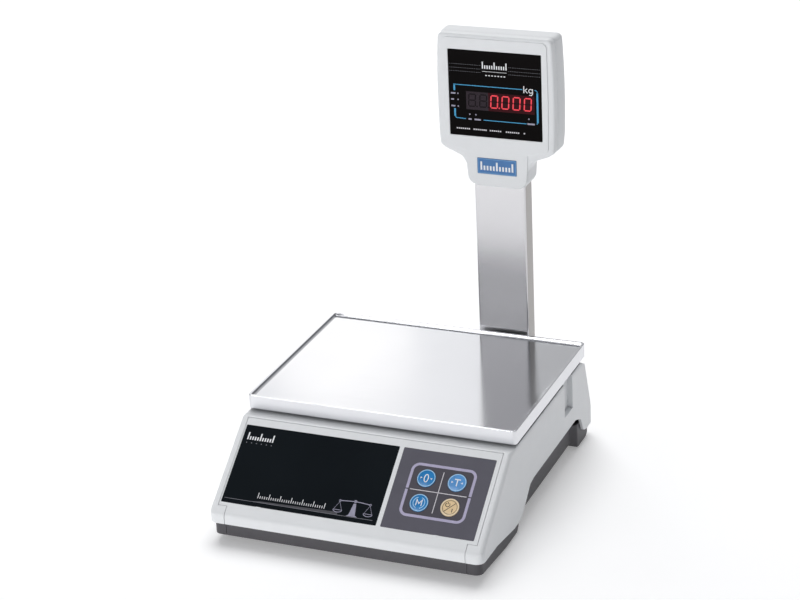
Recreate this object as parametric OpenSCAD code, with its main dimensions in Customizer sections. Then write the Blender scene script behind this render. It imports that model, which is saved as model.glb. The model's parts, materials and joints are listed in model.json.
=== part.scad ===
// Counter weighing scale with a customer display on a rear pole.
// Millimetres, +Z up. The origin is the middle of the footprint, on the counter.
// The operator stands at -Y; +X is to the operator's right.

/* [Body] */
// Width over the cover's side walls
body_w = 307; // [300:1:320]
// Front face of the lip under the sloping panel, along Y
lip_y = -187.5; // [-190:0.5:-184]
// Front top edge of the cover, along Y
brow_y = -93.4; // [-96:0.2:-90]
// Height of the front top edge above the counter
brow_z = 105; // [104:0.5:106]
// Pitch of the sloping front panel, in degrees
panel_pitch = 36.8; // [36:0.2:38]
// Height of the deck under the platter
deck_z = 103.5; // [102:0.5:104]
// Thickness of the moulded walls
wall = 3; // [2.5:0.25:3.5]
// Height of the cover's lower edge at the front
lip_bottom = 24; // [22:0.5:25]

/* [Platter] */
// Platter width
platter_w = 306; // [296:1:308]
// Platter depth
platter_d = 233; // [220:1:236]
// Middle of the platter, along Y
platter_y = 38.5; // [37:0.5:40]
// Height of the platter's rim above the counter
platter_top = 122; // [120:0.5:126]
// Height of the platter's folded skirt
skirt_h = 16; // [14:0.5:17]
// Depth of the weighing surface below the rim
rim_h = 3; // [2:0.5:3.5]
// Gauge of the stainless sheet
sheet = 1.2; // [1:0.1:1.5]

/* [Front panel] */
// Distance of the panel graphics from the front top edge, down the slope
field_top = 10.4; // [9:0.1:12]
// Height of the display plate and of the keypad, down the slope
field_h = 92; // [88:0.5:93]
// Left edge of the black display plate
plate_left = -143.5; // [-144:0.5:-138]
// Right edge of the black display plate
plate_right = 33; // [28:0.5:35]
// Left edge of the keypad
keypad_left = 38; // [36:0.5:41]
// Right edge of the keypad
keypad_right = 140.3; // [138:0.1:142]
// Radius of a key cap
key_r = 10; // [9:0.25:10.5]
// Distance between key columns
key_pitch_x = 33.9; // [32:0.1:35]
// Distance between key rows
key_pitch_v = 28.3; // [27:0.1:29]

/* [Pole] */
// Middle of the pole, along X
pole_x = 54.7; // [50:0.1:60]
// Width of the rectangular tube
pole_w = 60; // [58:1:62]
// Depth of the rectangular tube
pole_d = 22; // [20:1:24]
// Front face of the pole, along Y
pole_y = 160.5; // [159:0.5:162]

/* [Display head] */
// Front face of the display head, along Y
head_y = 153; // [152:0.5:154]
// Depth of the display head
head_d = 34.5; // [32:0.5:36]
// Height of the head's top above the counter
head_top = 469.5; // [460:0.5:475]
// Width of the head's window
window_w = 106.5; // [104:0.5:108]
// Height of the head's window
window_h = 97.5; // [95:0.5:99]
// Middle height of the head's window
window_z = 403.3; // [401:0.1:405]

/* [Feet] */
// Distance of each foot from the middle, along X
foot_x = 126; // [122:1:128]
// Front feet, along Y
foot_front_y = -101; // [-106:1:-98]
// Rear feet, along Y
foot_rear_y = 150; // [148:1:152]
// Radius of a foot's rubber pad
pad_r = 13; // [11:0.5:14]

/* [Hidden] */
$fn = 64;
seam = 0.5;

// Body outline in side view
half_w = body_w / 2;
brow_back = brow_y + 8;
lip_top = brow_z - (brow_y - lip_y) * tan(panel_pitch);
rear_top_y = 140.5;
rear_knee = [150.5, 98];
rear_foot = [178.5, 16];
edge_r = 5;
brow_r = 2.5;

// Finger recess in each side wall, under the platter's edge
recess_y = [79, 106];
recess_z = 64;
recess_deep = 6;

// Lower edge of the cover's side walls
arch_z = 44;
arch_front = -27;
arch_rear = 116;
heel_z = 15.5;

// Screws that join base and cover, and base and fascia
case_screw_x = [-132, 132];
case_screw_y = [-58, 121];
fascia_screw_x = [-100, 100];
fascia_screw_y = -172;

level_y = -64;

// Base
base_bottom = 9;
floor_t = 3;
base_wall = 2.5;
leg_half_w = 150.2;
waist_half_w = 143.3;
leg_bottom = 2;
base_front = lip_y + 3.5;
base_rear = 174.5;
base_top = 31;
trim_half_w = 135;

// Front panel, measured down the slope from the front top edge
panel_top = 1.5;
panel_jog = 106.5;
panel_half = 145.2;
overlay_t = 0.8;
overlay_proud = 0.15;
key_centre = [88.6, 56.2];
key_gap = 0.25;
key_proud = 0.7;
key_flange_r = key_r + 1.6;
key_flange_t = 1.2;
board_gap = 12;
keypad_board_t = 1.6;
field_bottom = -field_top - field_h;
board_posts = [
    for (x = [keypad_left + 12, keypad_right - 12], y = [field_bottom + 16, -field_top - 14]) [x, y]
];
keypad_lead_x = 60;
keypad_lead_y = -132;
keypad_socket_z = 50;

// Main board, inlet and the leads between them
main_board_x = [-112, -12];
main_board_y = [-150, -100];
main_board_z = 16;
main_board_top = 17.6;
inlet_x = -60;
inlet_z = 29;
lead_r = 1.8;
lead_z = main_board_top + lead_r + 0.1;

// Weighing carrier, from the base floor upwards
carrier_half_x = 105;
carrier_half_y = 75;
chassis_z = base_bottom + floor_t;
chassis_t = 3;
cell_l = 130;
cell_w = 30;
cell_h = 22;
cell_z = 24;
cell_end = 34;
bolt_r = 3;
bolt_fit = 0.05;
bolt_pitch = 20;
carrier_z = 58;
carrier_t = 7;
post_r = 8;
post_hole_r = 12;
pad_h = 4;
platter_under = platter_top - rim_h - sheet;
stop_gap = 0.9;

// Feet
stud_r = 4;
stud_fit = 0.06;
cal_screw_x = [60.5, 95.5];
cal_screw_y = -48;
foot_well_r = 17;
foot_well_z = 13;
foot_pad_h = 4.5;
foot_places = [
    [-foot_x, foot_front_y], [foot_x, foot_front_y], [-foot_x, foot_rear_y], [foot_x, foot_rear_y]
];

// Pole and its pocket in the rear wall
pocket_gap = 1;
pole_foot = 14;
pole_top = 352;
pole_wall = 1.2;
pole_corner = 2.5;
bracket_t = 2;
bracket_h = 52;
bracket_screw_x = [pole_x - 20, pole_x + 20];
bracket_screw_y = pole_y + 11;

// Display head outline in front view, from the pole's middle
head_mid = pole_x;
head_bottom = 299;
neck_half = 35;
head_wall = 2.5;
parting = 11;
window_t = 2;
cable_slot = 4;
head_socket_z = 380;
head_screw_x = [-48, 48];
head_screw_z = [350, 455];
head_post_x = [-42, 42];
head_post_z = [366, 440];
head_boss_y = head_y + head_d - head_wall - 0.2;
head_recess = 1.3;
head_board_y = head_y + 14;
head_board_t = 1.6;

// Colours
c_cover = [0.88, 0.89, 0.9];
c_base = [0.36, 0.35, 0.38];
c_black = [0.05, 0.06, 0.07];
c_keypad = [0.37, 0.36, 0.4];
c_steel = [0.75, 0.76, 0.78];
c_board = [0.1, 0.4, 0.2];
c_blue = [0.2, 0.55, 0.8];
c_cream = [0.9, 0.8, 0.6];
c_rubber = [0.1, 0.1, 0.1];
c_brass = [0.8, 0.65, 0.35];

// ---------------------------------------------------------------- shape helpers

function unit(v) = v / norm(v);

// Points of the arc that rounds corner b, between its neighbours a and c
function corner_arc(a, b, c, r, steps) =
    let (
        u = unit(a - b),
        w = unit(c - b),
        half = acos(u * w) / 2,
        reach = r / tan(half),
        centre = b + unit(u + w) * r / sin(half),
        s = b + u * reach - centre,
        e = b + w * reach - centre,
        a0 = atan2(s.y, s.x),
        gap = atan2(e.y, e.x) - a0,
        turn = gap > 180 ? gap - 360 : gap < -180 ? gap + 360 : gap
    )
    [for (i = [0:steps]) centre + r * [cos(a0 + turn * i / steps), sin(a0 + turn * i / steps)]];

// Outline whose corners are [x, y, radius]
function rounded(p, steps = 6) = [
    for (i = [0:len(p) - 1])
        let (
            a = p[(i + len(p) - 1) % len(p)],
            b = p[i],
            c = p[(i + 1) % len(p)]
        )
        each (b[2] == 0 ? [[b.x, b.y]]
            : corner_arc([a.x, a.y], [b.x, b.y], [c.x, c.y], b[2], steps))
];

// Rectangle from its lower left corner to its upper right one, with round corners
function round_rect(x0, y0, x1, y1, r) = rounded([[x0, y0, r], [x1, y0, r], [x1, y1, r], [x0, y1, r]]);

// A (y, z) outline stretched along X, about the middle
module along_x(width) rotate([90, 0, 90]) linear_extrude(width, center = true) children();

// An (x, z) outline stretched along Y, from y0 to y1
module along_y(y0, y1) translate([0, y1, 0]) rotate([90, 0, 0]) linear_extrude(y1 - y0) children();

// Frame of the sloping panel: x across, y up the slope, z out of it
module on_panel() translate([0, brow_y, brow_z]) rotate([panel_pitch, 0, 0]) children();

module slab(x0, y0, z0, x1, y1, z1) translate([x0, y0, z0]) cube([x1 - x0, y1 - y0, z1 - z0]);

module post(x, y, z0, z1, r) translate([x, y, z0]) cylinder(h = z1 - z0, r = r);

// Left and right copies
module both_sides() {
    children();
    mirror([1, 0, 0]) children();
}

// Screw with a pan head below and its shank upwards
module screw_up(x, y, z, r, l, head_r, head_h) {
    post(x, y, z, z + head_h, head_r);
    post(x, y, z, z + head_h + l, r);
}

// ---------------------------------------------------------------- body cover

function side_outline() = rounded([
    [lip_y, 0, 0], [lip_y, lip_top, 8], [brow_y, brow_z, brow_r], [brow_back, deck_z, 3],
    [rear_top_y, deck_z, edge_r], [rear_knee.x, rear_knee.y, 6], [rear_foot.x, rear_foot.y, 0],
    [rear_foot.x + 2, 0, 0]
]);

// The body's outer form, with its edges rounded
module body_form() {
    intersection() {
        along_x(body_w + 10) polygon(side_outline());
        along_y(lip_y - 5, 190)
            polygon(rounded([[-half_w, 0, 0], [-half_w, deck_z + 3, edge_r + 2],
                [half_w, deck_z + 3, edge_r + 2], [half_w, 0, 0]]));
        linear_extrude(200)
            polygon(rounded([[-half_w, lip_y, 9], [half_w, lip_y, 9], [half_w, 180.5, 12],
                [-half_w, 180.5, 12]]));
        on_panel() translate([0, 150, 0]) rotate([90, 0, 0]) linear_extrude(600, center = true)
            polygon(rounded([[-half_w, -300, 0], [-half_w, 0, edge_r], [half_w, 0, edge_r],
                [half_w, -300, 0]]));
    }
}

// The space inside the shell
module body_space() {
    intersection() {
        along_x(body_w - 2 * wall) offset(delta = -wall) polygon(side_outline());
        slab(-half_w, lip_y, -1, half_w, 190, 200);
    }
    slab(-half_w + wall, lip_y + wall, -1, half_w - wall, rear_foot.x - wall, 20);
}

// Everything below the cover's lower edge, in side view
module below_cover() {
    along_x(body_w + 20) polygon(rounded([
        [lip_y - 10, -20, 0], [lip_y - 10, lip_bottom, 0], [lip_y + 45, lip_bottom - 1, 0],
        [-90, heel_z, 10], [-67, heel_z + 0.5, 12], [-39, arch_z - 2, 8],
        [arch_front, arch_z, 10], [arch_rear, arch_z, 12], [134, 37, 10], [143, 19, 8],
        [154, heel_z, 4], [200, heel_z, 0], [200, -20, 0]
    ]));
}

// Outline of the fascia on the slope, as seen square to it
module fascia_outline(grow) {
    polygon([
        [-panel_half - grow, -panel_top + grow], [panel_half + grow, -panel_top + grow],
        [panel_half + grow, -panel_jog - grow], [-panel_half - grow, -panel_jog - grow]
    ]);
}

// The volume that the fascia takes out of the front
module fascia_zone(grow) {
    on_panel() translate([0, 0, -9]) linear_extrude(20) fascia_outline(grow);
    slab(-trim_half_w - grow, lip_y - 5, -5, trim_half_w + grow, lip_y + 12, 46);
}

// Finger recess in a side wall, open at the deck
module finger_recess()
    slab(half_w - recess_deep, recess_y[0], recess_z, half_w + 5, recess_y[1], deck_z + 10);

module top_cover() color(c_cover) {
    difference() {
        union() {
            difference() {
                body_form();
                body_space();
                fascia_zone(seam / 2);
            }
            // Backs of the finger recesses
            both_sides() intersection() {
                slab(half_w - recess_deep - wall, recess_y[0] - wall, recess_z - wall, half_w - 1,
                    recess_y[1] + wall, deck_z - 1);
                body_form();
            }
            // Ledge that carries the fascia
            both_sides() intersection() {
                on_panel()
                    slab(panel_half - 7, -panel_jog + 2, -2 * wall - 2.4, half_w - 1, -2, -wall - 0.2);
                body_form();
            }
            // Walls of the pole pocket
            intersection() {
                slab(pole_x - pole_w / 2 - pocket_gap - wall, pole_y - pocket_gap - wall, 16,
                    pole_x + pole_w / 2 + pocket_gap + wall, rear_foot.x + 2, deck_z - 1);
                body_form();
            }
            // Screw bosses
            for (x = case_screw_x, y = case_screw_y) post(x, y, base_top + 0.5, deck_z - 1, 4.5);
        }
        below_cover();
        both_sides() finger_recess();
        // Pole pocket
        slab(pole_x - pole_w / 2 - pocket_gap, pole_y - pocket_gap, -1,
            pole_x + pole_w / 2 + pocket_gap, 190, deck_z + 10);
        // Slot for the display cable in the pocket's front wall
        slab(pole_x - cable_slot, pole_y - 10, -1, pole_x + cable_slot, pole_y, lead_z + cable_slot);
        // Holes for the carrier's posts
        at_carrier_corners() post(0, 0, deck_z - 6, deck_z + 2, post_hole_r);
        // Hole for the bubble level
        post(0, level_y, deck_z - 6, deck_z + 2, 9.2);
        // Screw bores
        for (x = case_screw_x, y = case_screw_y) post(x, y, 20, 60, 1.75);
        // Inlet hole
        slab(inlet_x - 6, 150, inlet_z - 7, inlet_x + 6, 190, inlet_z + 7);
    }
}

// ---------------------------------------------------------------- base

function base_plan(grow = 0) = rounded([
    [-leg_half_w - grow, base_front - grow, 8], [leg_half_w + grow, base_front - grow, 8],
    [leg_half_w + grow, -68.5 + grow, 3], [waist_half_w + grow, -62.5 + grow, 6],
    [waist_half_w + grow, 122.5 - grow, 6], [leg_half_w + grow, 130.5 - grow, 4],
    [leg_half_w + grow, base_rear + grow, 10], [-leg_half_w - grow, base_rear + grow, 10],
    [-leg_half_w - grow, 130.5 - grow, 4], [-waist_half_w - grow, 122.5 - grow, 6],
    [-waist_half_w - grow, -62.5 + grow, 6], [-leg_half_w - grow, -68.5 + grow, 3]
]);

module base_tray() color(c_base) {
    difference() {
        union() {
            difference() {
                translate([0, 0, base_bottom]) linear_extrude(base_top - base_bottom) polygon(base_plan());
                translate([0, 0, base_bottom + floor_t]) linear_extrude(60) polygon(base_plan(-base_wall));
                // The rear wall steps in, to clear the cover's sloping rear wall
                slab(-200, base_rear - 6, heel_z, 200, base_rear + 1, base_top + 1);
            }
            // Stepped upper part of the rear wall
            slab(-leg_half_w + 2, base_rear - 8, base_bottom + 1, leg_half_w - 2, base_rear - 6, base_top);
            slab(-leg_half_w + 4, base_rear - 8, heel_z - 2, leg_half_w - 4, base_rear - 1, heel_z);
            // Upper walls in the side arches, with a ledge behind the cover's edge
            both_sides() {
                slab(waist_half_w - base_wall, -60.5, base_top - 1, waist_half_w, 120.5, arch_z + 5);
                slab(waist_half_w - base_wall, -30.5, arch_z + 2, half_w - wall - 0.4, 115.5, arch_z + 5);
            }
            // Legs
            intersection() {
                linear_extrude(40) polygon(base_plan());
                both_sides() translate([(leg_half_w + 98) / 2, 0, 0]) {
                    along_x(leg_half_w - 98) polygon([[base_front, base_bottom + 1],
                        [base_front, base_bottom], [-108, leg_bottom], [-74, leg_bottom],
                        [-67, base_bottom + 1]]);
                    along_x(leg_half_w - 98) polygon([[124, base_bottom + 1], [130, leg_bottom + 1],
                        [135, leg_bottom], [161, leg_bottom], [base_rear, base_bottom],
                        [base_rear, base_bottom + 1]]);
                }
            }
            // Foot wells and the bosses of their inserts
            for (p = foot_places) {
                post(p.x, p.y, leg_bottom, foot_well_z + 2.5, foot_well_r + 2.5);
                post(p.x, p.y, foot_well_z, base_top, 9);
            }
            // Case screw bosses
            for (x = case_screw_x, y = case_screw_y) post(x, y, base_bottom, base_top, 5);
            for (x = fascia_screw_x) post(x, fascia_screw_y, base_bottom, base_top - 2, 5);
            // Main board posts
            for (x = main_board_x, y = main_board_y) post(x, y, base_bottom, main_board_z, 3.5);
            // Shelf under the pole, and the seat of the inlet
            slab(pole_x - pole_w / 2 - 10, pole_y - 6, base_bottom, pole_x + pole_w / 2 + 10,
                pole_y + pole_d, pole_foot);
            slab(inlet_x - 7.5, 156, base_bottom, inlet_x + 7.5, 162, inlet_z - 8.4);
        }
        for (p = foot_places) {
            post(p.x, p.y, 0, foot_well_z, foot_well_r);
            post(p.x, p.y, 0, base_top + 1, 6);
        }
        for (x = case_screw_x, y = case_screw_y) {
            post(x, y, 0, base_top + 1, 2.2);
            post(x, y, 0, base_bottom + 8, 4.2);
        }
        for (x = fascia_screw_x) {
            post(x, fascia_screw_y, 0, base_top + 1, 2.2);
            post(x, fascia_screw_y, 0, base_bottom + 8, 4.2);
        }
        for (x = main_board_x, y = main_board_y) post(x, y, base_bottom + floor_t, 17, 1.3);
        // Clearance for the heads of the load cell's bolts
        at_cell_bolts(-1) post(0, 0, 0, chassis_z, 6);
        // Calibration access
        slab(64, -60, 0, 92, -36, 20);
        slab(56, -64, base_bottom - 1, 100, -32, base_bottom + 1.6);
        for (x = cal_screw_x) post(x, cal_screw_y, 0, 20, 1.65);
        // Notch for the front trim
        slab(-trim_half_w - seam / 2, base_front - 5, -1, trim_half_w + seam / 2,
            base_front + base_wall + 1, lip_bottom + 0.5);
        // Room for the pole and its pocket, and for the inlet, in the rear wall
        slab(pole_x - pole_w / 2 - 5, pole_y - 10, pole_foot, pole_x + pole_w / 2 + 5, 190, 60);
        slab(inlet_x - 9, base_rear - 9, inlet_z - 9, inlet_x + 9, base_rear + 1, base_top + 1);
        // Bores for the screws of the pole's bracket
        for (x = bracket_screw_x) post(x, bracket_screw_y, 0, pole_foot + 1, 1.75);
    }
}

module calibration_cover() color(c_base) {
    difference() {
        slab(56.3, -63.7, base_bottom, 99.7, -32.3, base_bottom + 1.4);
        for (x = cal_screw_x) post(x, cal_screw_y, 0, 12, 1.7);
    }
    // Grip rib
    slab(74, -49, base_bottom + 1.2, 82, -47, base_bottom + 4);
}

module front_trim() color(c_base) {
    slab(-trim_half_w, base_front, base_bottom, trim_half_w, base_front + base_wall, lip_bottom);
    slab(-trim_half_w, base_front, base_bottom, trim_half_w, base_front + 3.2, base_bottom + 2.5);
    // Tabs behind the base's front wall
    for (x = [-90, 0, 90]) translate([x, base_front + base_wall, lip_bottom]) {
        slab(-8, -1, -2, 8, 2, 0);
        slab(-8, 0.1, -2, 8, 2, 5);
    }
}

// ---------------------------------------------------------------- front panel

function key_place(col, row) = [
    key_centre.x + col * key_pitch_x / 2, -key_centre.y + row * key_pitch_v / 2
];
key_places = [key_place(-1, 1), key_place(1, 1), key_place(-1, -1), key_place(1, -1)];

module panel_field(x0, x1, grow, z0, z1) {
    translate([0, 0, z0]) linear_extrude(z1 - z0)
        polygon(round_rect(x0 - grow, field_bottom - grow, x1 + grow, -field_top + grow, 1));
}

module front_fascia() color(c_cover) {
    difference() {
        union() {
            intersection() {
                difference() {
                    body_form();
                    body_space();
                }
                fascia_zone(-seam / 2);
            }
            // Bosses for the screws that come up through the base
            for (x = fascia_screw_x) post(x, fascia_screw_y, base_top - 1.5, 44, 4.5);
            // Posts that carry the keypad board
            on_panel() for (p = board_posts)
                translate([p.x, p.y, -board_gap]) cylinder(h = board_gap - wall + 0.1, r = 3);
        }
        below_cover();
        on_panel() {
            panel_field(plate_left, plate_right, 0.1, -overlay_t, 5);
            panel_field(keypad_left, keypad_right, 0.1, -overlay_t, 5);
            for (p = key_places) translate([p.x, p.y, -20]) cylinder(h = 30, r = key_r + key_gap);
        }
        for (x = fascia_screw_x) post(x, fascia_screw_y, 20, 42, 1.75);
        on_panel() for (p = board_posts) translate([p.x, p.y, -board_gap - 1]) cylinder(h = 8, r = 1.3);
    }
}

module display_plate() color(c_black)
    on_panel() panel_field(plate_left, plate_right, 0, -overlay_t, overlay_proud);

module keypad_overlay() color(c_keypad) on_panel() difference() {
    panel_field(keypad_left, keypad_right, 0, -overlay_t, overlay_proud);
    for (p = key_places) translate([p.x, p.y, -20]) cylinder(h = 30, r = key_r + key_gap);
}

// Key cap with a low dome, a retaining flange and a stem over its switch
module key_cap(p) {
    on_panel() translate([p.x, p.y, 0]) rotate_extrude() polygon(concat(
        [[0, -8.2], [2.5, -8.2], [2.5, -wall - key_flange_t - 0.1],
            [key_flange_r, -wall - key_flange_t - 0.1], [key_flange_r, -wall - 0.1], [key_r, -wall - 0.1],
            [key_r, key_proud - 0.45], [key_r - 0.15, key_proud - 0.2], [key_r - 0.6, key_proud]],
        [[0, key_proud]]
    ));
}

module key_zero() color(c_blue) key_cap(key_places[0]);
module key_tare() color(c_blue) key_cap(key_places[1]);
module key_mode() color(c_blue) key_cap(key_places[2]);
module key_power() color(c_cream) key_cap(key_places[3]);

module keypad_board() color(c_board) {
    on_panel() difference() {
        translate([0, 0, -board_gap - keypad_board_t]) linear_extrude(keypad_board_t)
            polygon(round_rect(keypad_left + 8, field_bottom + 12, keypad_right - 8, -field_top - 10, 2));
        for (p = board_posts) translate([p.x, p.y, -20]) cylinder(h = 10, r = 1.6);
    }
    // Socket of the keypad's lead
    slab(keypad_lead_x - 4, keypad_lead_y - 2, keypad_socket_z, keypad_lead_x + 4, keypad_lead_y + 2,
        keypad_socket_z + 9);
}

// Tact switches on the keypad board, each with a plunger just under its key's stem
module key_switches() color(c_black) on_panel() for (p = key_places) translate([p.x, p.y, -board_gap]) {
    translate([-3, -3, 0]) cube([6, 6, 3]);
    cylinder(h = 3.35, r = 1.7);
}

// ---------------------------------------------------------------- electronics

module main_board() color(c_board) difference() {
    slab(-116.5, -156, main_board_z, -6, -94, main_board_top);
    for (x = main_board_x, y = main_board_y) post(x, y, 15, 19, 1.6);
}

// A part on the main board, from its lower left corner
module chip(x, y, w, d, h) slab(x, y, main_board_top, x + w, y + d, main_board_top + h);

module board_chips() color(c_black) {
    chip(-84, -138, 16, 16, 2);
    chip(-58, -142, 10, 8, 2);
    chip(-40, -118, 14, 14, 6);
    chip(-106, -130, 10, 18, 6);
    post(-56, -112, main_board_top, 30, 5);
    post(-70, -112, main_board_top, 28, 4);
    // Sockets of the leads
    chip(-88, -106, 8, 8, 5);
    chip(-102, -106, 8, 8, 5);
    chip(-14, -122, 8, 8, 5);
    chip(-14, -136, 8, 8, 5);
}

module board_screws() color(c_steel) {
    for (x = main_board_x, y = main_board_y) {
        post(x, y, main_board_top, main_board_top + 1.8, 2.8);
        post(x, y, base_bottom + floor_t + 0.2, main_board_top + 0.1, 1.25);
    }
    on_panel() for (p = board_posts) translate([p.x, p.y, -board_gap - keypad_board_t - 1.8]) {
        cylinder(h = 1.8, r = 2.8);
        cylinder(h = 7.5, r = 1.25);
    }
}

// Low-voltage inlet: a square-bodied jack with a round mouth and a centre pin
module dc_inlet() color(c_black) translate([inlet_x, 0, inlet_z]) difference() {
    union() {
        slab(-5.6, 158, -6.6, 5.6, 173.6, 6.6);
        slab(-7.5, 158, -8.4, 7.5, 160, 8.4);
    }
    translate([0, 162, 0]) rotate([-90, 0, 0]) difference() {
        cylinder(h = 20, r = 3.2);
        translate([0, 0, -1]) cylinder(h = 10, r = 1);
    }
}

// Round rod from a to b
module rod(a, b, r) {
    d = b - a;
    translate(a) rotate([0, acos(d.z / norm(d)), atan2(d.y, d.x)]) cylinder(h = norm(d), r = r);
}

// Insulated lead along a route, with a ball at each bend
module lead(route, r) {
    for (i = [0:len(route) - 2]) rod(route[i], route[i + 1], r);
    for (i = [1:len(route) - 2]) translate(route[i]) sphere(r + 0.05);
}

module power_lead() color(c_black) lead([
    [inlet_x, 158, inlet_z], [inlet_x, 148, inlet_z], [-98, 148, inlet_z], [-98, 148, lead_z],
    [-98, -98, lead_z]
], lead_r);

module keypad_lead() color(c_black) lead([
    [keypad_lead_x, keypad_lead_y, keypad_socket_z], [keypad_lead_x, keypad_lead_y, lead_z],
    [-6, keypad_lead_y, lead_z]
], lead_r);

// ---------------------------------------------------------------- weighing mechanism

// Bores for the bolts at one end of the cell: side is -1 at its fixed end, 1 at its free end
module cell_bores(side) at_cell_bolts(side) translate([0, 0, -1]) cylinder(h = 90, r = bolt_r + bolt_fit);

module at_cell_bolts(side) for (y = [-1, 1])
    translate([side * (cell_l - cell_end) / 2, platter_y + y * bolt_pitch / 2, 0]) children();

module at_carrier_corners() for (x = [-1, 1], y = [-1, 1])
    translate([x * carrier_half_x, platter_y + y * carrier_half_y, 0]) children();

module chassis_plate() color(c_steel) difference() {
    slab(-100, platter_y - 45, chassis_z, 100, platter_y + 45, chassis_z + chassis_t);
    cell_bores(-1);
}

module cell_spacer() color(c_steel) difference() {
    slab(-cell_l / 2, platter_y - cell_w / 2, chassis_z + chassis_t, -cell_l / 2 + cell_end,
        platter_y + cell_w / 2, cell_z);
    cell_bores(-1);
}

// Single-point load cell: a block with a binocular cut-out and tapped ends
module load_cell() color(c_steel) difference() {
    slab(-cell_l / 2, platter_y - cell_w / 2, cell_z, cell_l / 2, platter_y + cell_w / 2, cell_z + cell_h);
    translate([0, platter_y, cell_z + cell_h / 2]) rotate([90, 0, 0]) {
        for (x = [-17, 17]) translate([x, 0, -25]) cylinder(h = 50, r = 8.5);
        translate([-17, -2.5, -25]) cube([34, 5, 50]);
    }
    for (side = [-1, 1]) cell_bores(side);
}

module cell_base_bolts() color(c_steel) at_cell_bolts(-1)
    screw_up(0, 0, chassis_z - 3.6, bolt_r, cell_z + 8 - chassis_z, 5, 3.6);

// Screened lead from the cell to the main board
module cell_lead() color(c_black) lead([
    [-cell_l / 2, platter_y, 35], [-84, platter_y, 35], [-84, platter_y, lead_z], [-84, -98, lead_z]
], lead_r);

module overload_stops() color(c_steel) for (x = [-1, 1], y = [-1, 1]) {
    post(x * 70, platter_y + y * 38, chassis_z + chassis_t, carrier_z - stop_gap, 3);
    post(x * 70, platter_y + y * 38, chassis_z + chassis_t, chassis_z + chassis_t + 5, 6.5);
}

module carrier_spacer() color(c_steel) difference() {
    slab(cell_l / 2 - cell_end, platter_y - cell_w / 2, cell_z + cell_h, cell_l / 2,
        platter_y + cell_w / 2, carrier_z);
    cell_bores(1);
}

// Cast cross that carries the platter on four posts
module platter_carrier() color(c_steel) difference() {
    union() {
        slab(-80, platter_y - 44, carrier_z, 80, platter_y + 44, carrier_z + 3);
        for (a = [-1, 1]) translate([0, platter_y, carrier_z])
            rotate([0, 0, a * atan2(carrier_half_y, carrier_half_x)])
                translate([0, 0, carrier_t / 2])
                    cube([2 * norm([carrier_half_x, carrier_half_y]), 14, carrier_t], center = true);
        at_carrier_corners() post(0, 0, carrier_z, platter_under - pad_h, post_r);
    }
    cell_bores(1);
}

module carrier_bolts() color(c_steel) at_cell_bolts(1) {
    post(0, 0, cell_z + 10, carrier_z + 8, bolt_r);
    post(0, 0, carrier_z + 3, carrier_z + 8, 5);
}

module carrier_pads() color(c_rubber)
    at_carrier_corners() post(0, 0, platter_under - pad_h, platter_under, post_r + 1.5);

function platter_plan(inset, r) = round_rect(-platter_w / 2 + inset, platter_y - platter_d / 2 + inset,
    platter_w / 2 - inset, platter_y + platter_d / 2 - inset, r);

module platter() color(c_steel) difference() {
    intersection() {
        translate([0, 0, platter_top - skirt_h]) linear_extrude(skirt_h) polygon(platter_plan(0, 4.5));
        along_x(platter_w + 2) polygon(round_rect(platter_y - platter_d / 2, platter_top - 40,
            platter_y + platter_d / 2, platter_top, 1.6));
        along_y(platter_y - platter_d / 2 - 1, platter_y + platter_d / 2 + 1)
            polygon(round_rect(-platter_w / 2, platter_top - 40, platter_w / 2, platter_top, 1.6));
    }
    translate([0, 0, platter_top - rim_h]) linear_extrude(20) polygon(platter_plan(3.2, 2));
    translate([0, 0, platter_top - skirt_h - 1]) linear_extrude(skirt_h + 1 - rim_h - sheet)
        polygon(platter_plan(sheet, 3.3));
}

// ---------------------------------------------------------------- level, screws and feet

module level_housing() color(c_cover) translate([0, level_y, 0]) difference() {
    union() {
        post(0, 0, deck_z - 9, deck_z + 0.4, 9);
        post(0, 0, deck_z - wall - 1.4, deck_z - wall - 0.1, 11);
    }
    post(0, 0, deck_z - 7, deck_z + 2, 7);
}

module level_vial() color([0.75, 0.9, 0.4, 0.5]) translate([0, level_y, 0]) difference() {
    post(0, 0, deck_z - 7, deck_z, 6.9);
    translate([0, 0, deck_z - 3.4]) cylinder(h = 2, r = 3);
}

module level_bubble() color([0.9, 1, 0.8, 0.5])
    translate([0, level_y, deck_z - 3.2]) cylinder(h = 1.6, r = 2.6);

module case_screws() color(c_steel) {
    for (x = case_screw_x, y = case_screw_y) screw_up(x, y, base_bottom + 5.6, 1.7, 32, 3.6, 2.4);
    for (x = fascia_screw_x) screw_up(x, fascia_screw_y, base_bottom + 5.6, 1.7, 24, 3.6, 2.4);
    for (x = cal_screw_x) screw_up(x, cal_screw_y, base_bottom - 1.8, 1.6, 3, 3, 1.8);
}

module foot_inserts() color(c_brass) for (p = foot_places) difference() {
    post(p.x, p.y, foot_well_z, base_top - 0.5, 6);
    post(p.x, p.y, 0, base_top + 5, stud_r + stud_fit);
}

module foot_pad(i) color(c_rubber) difference() {
    post(foot_places[i].x, foot_places[i].y, 0, foot_pad_h, pad_r);
    post(foot_places[i].x, foot_places[i].y, foot_pad_h - 2.5, foot_pad_h + 1, 5.05);
}

// Levelling screw: stud, hand wheel with flutes, and a button that turns in the pad
module foot_screw(i) color(c_steel) translate([foot_places[i].x, foot_places[i].y, 0]) {
    post(0, 0, foot_pad_h, base_top - 3, stud_r);
    post(0, 0, foot_pad_h - 2.5, foot_pad_h + 1, 5);
    difference() {
        post(0, 0, foot_pad_h + 0.2, foot_pad_h + 5, pad_r - 0.5);
        for (a = [0:30:330]) rotate([0, 0, a]) post(pad_r + 0.6, 0, 0, 20, 2.2);
    }
}

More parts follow.
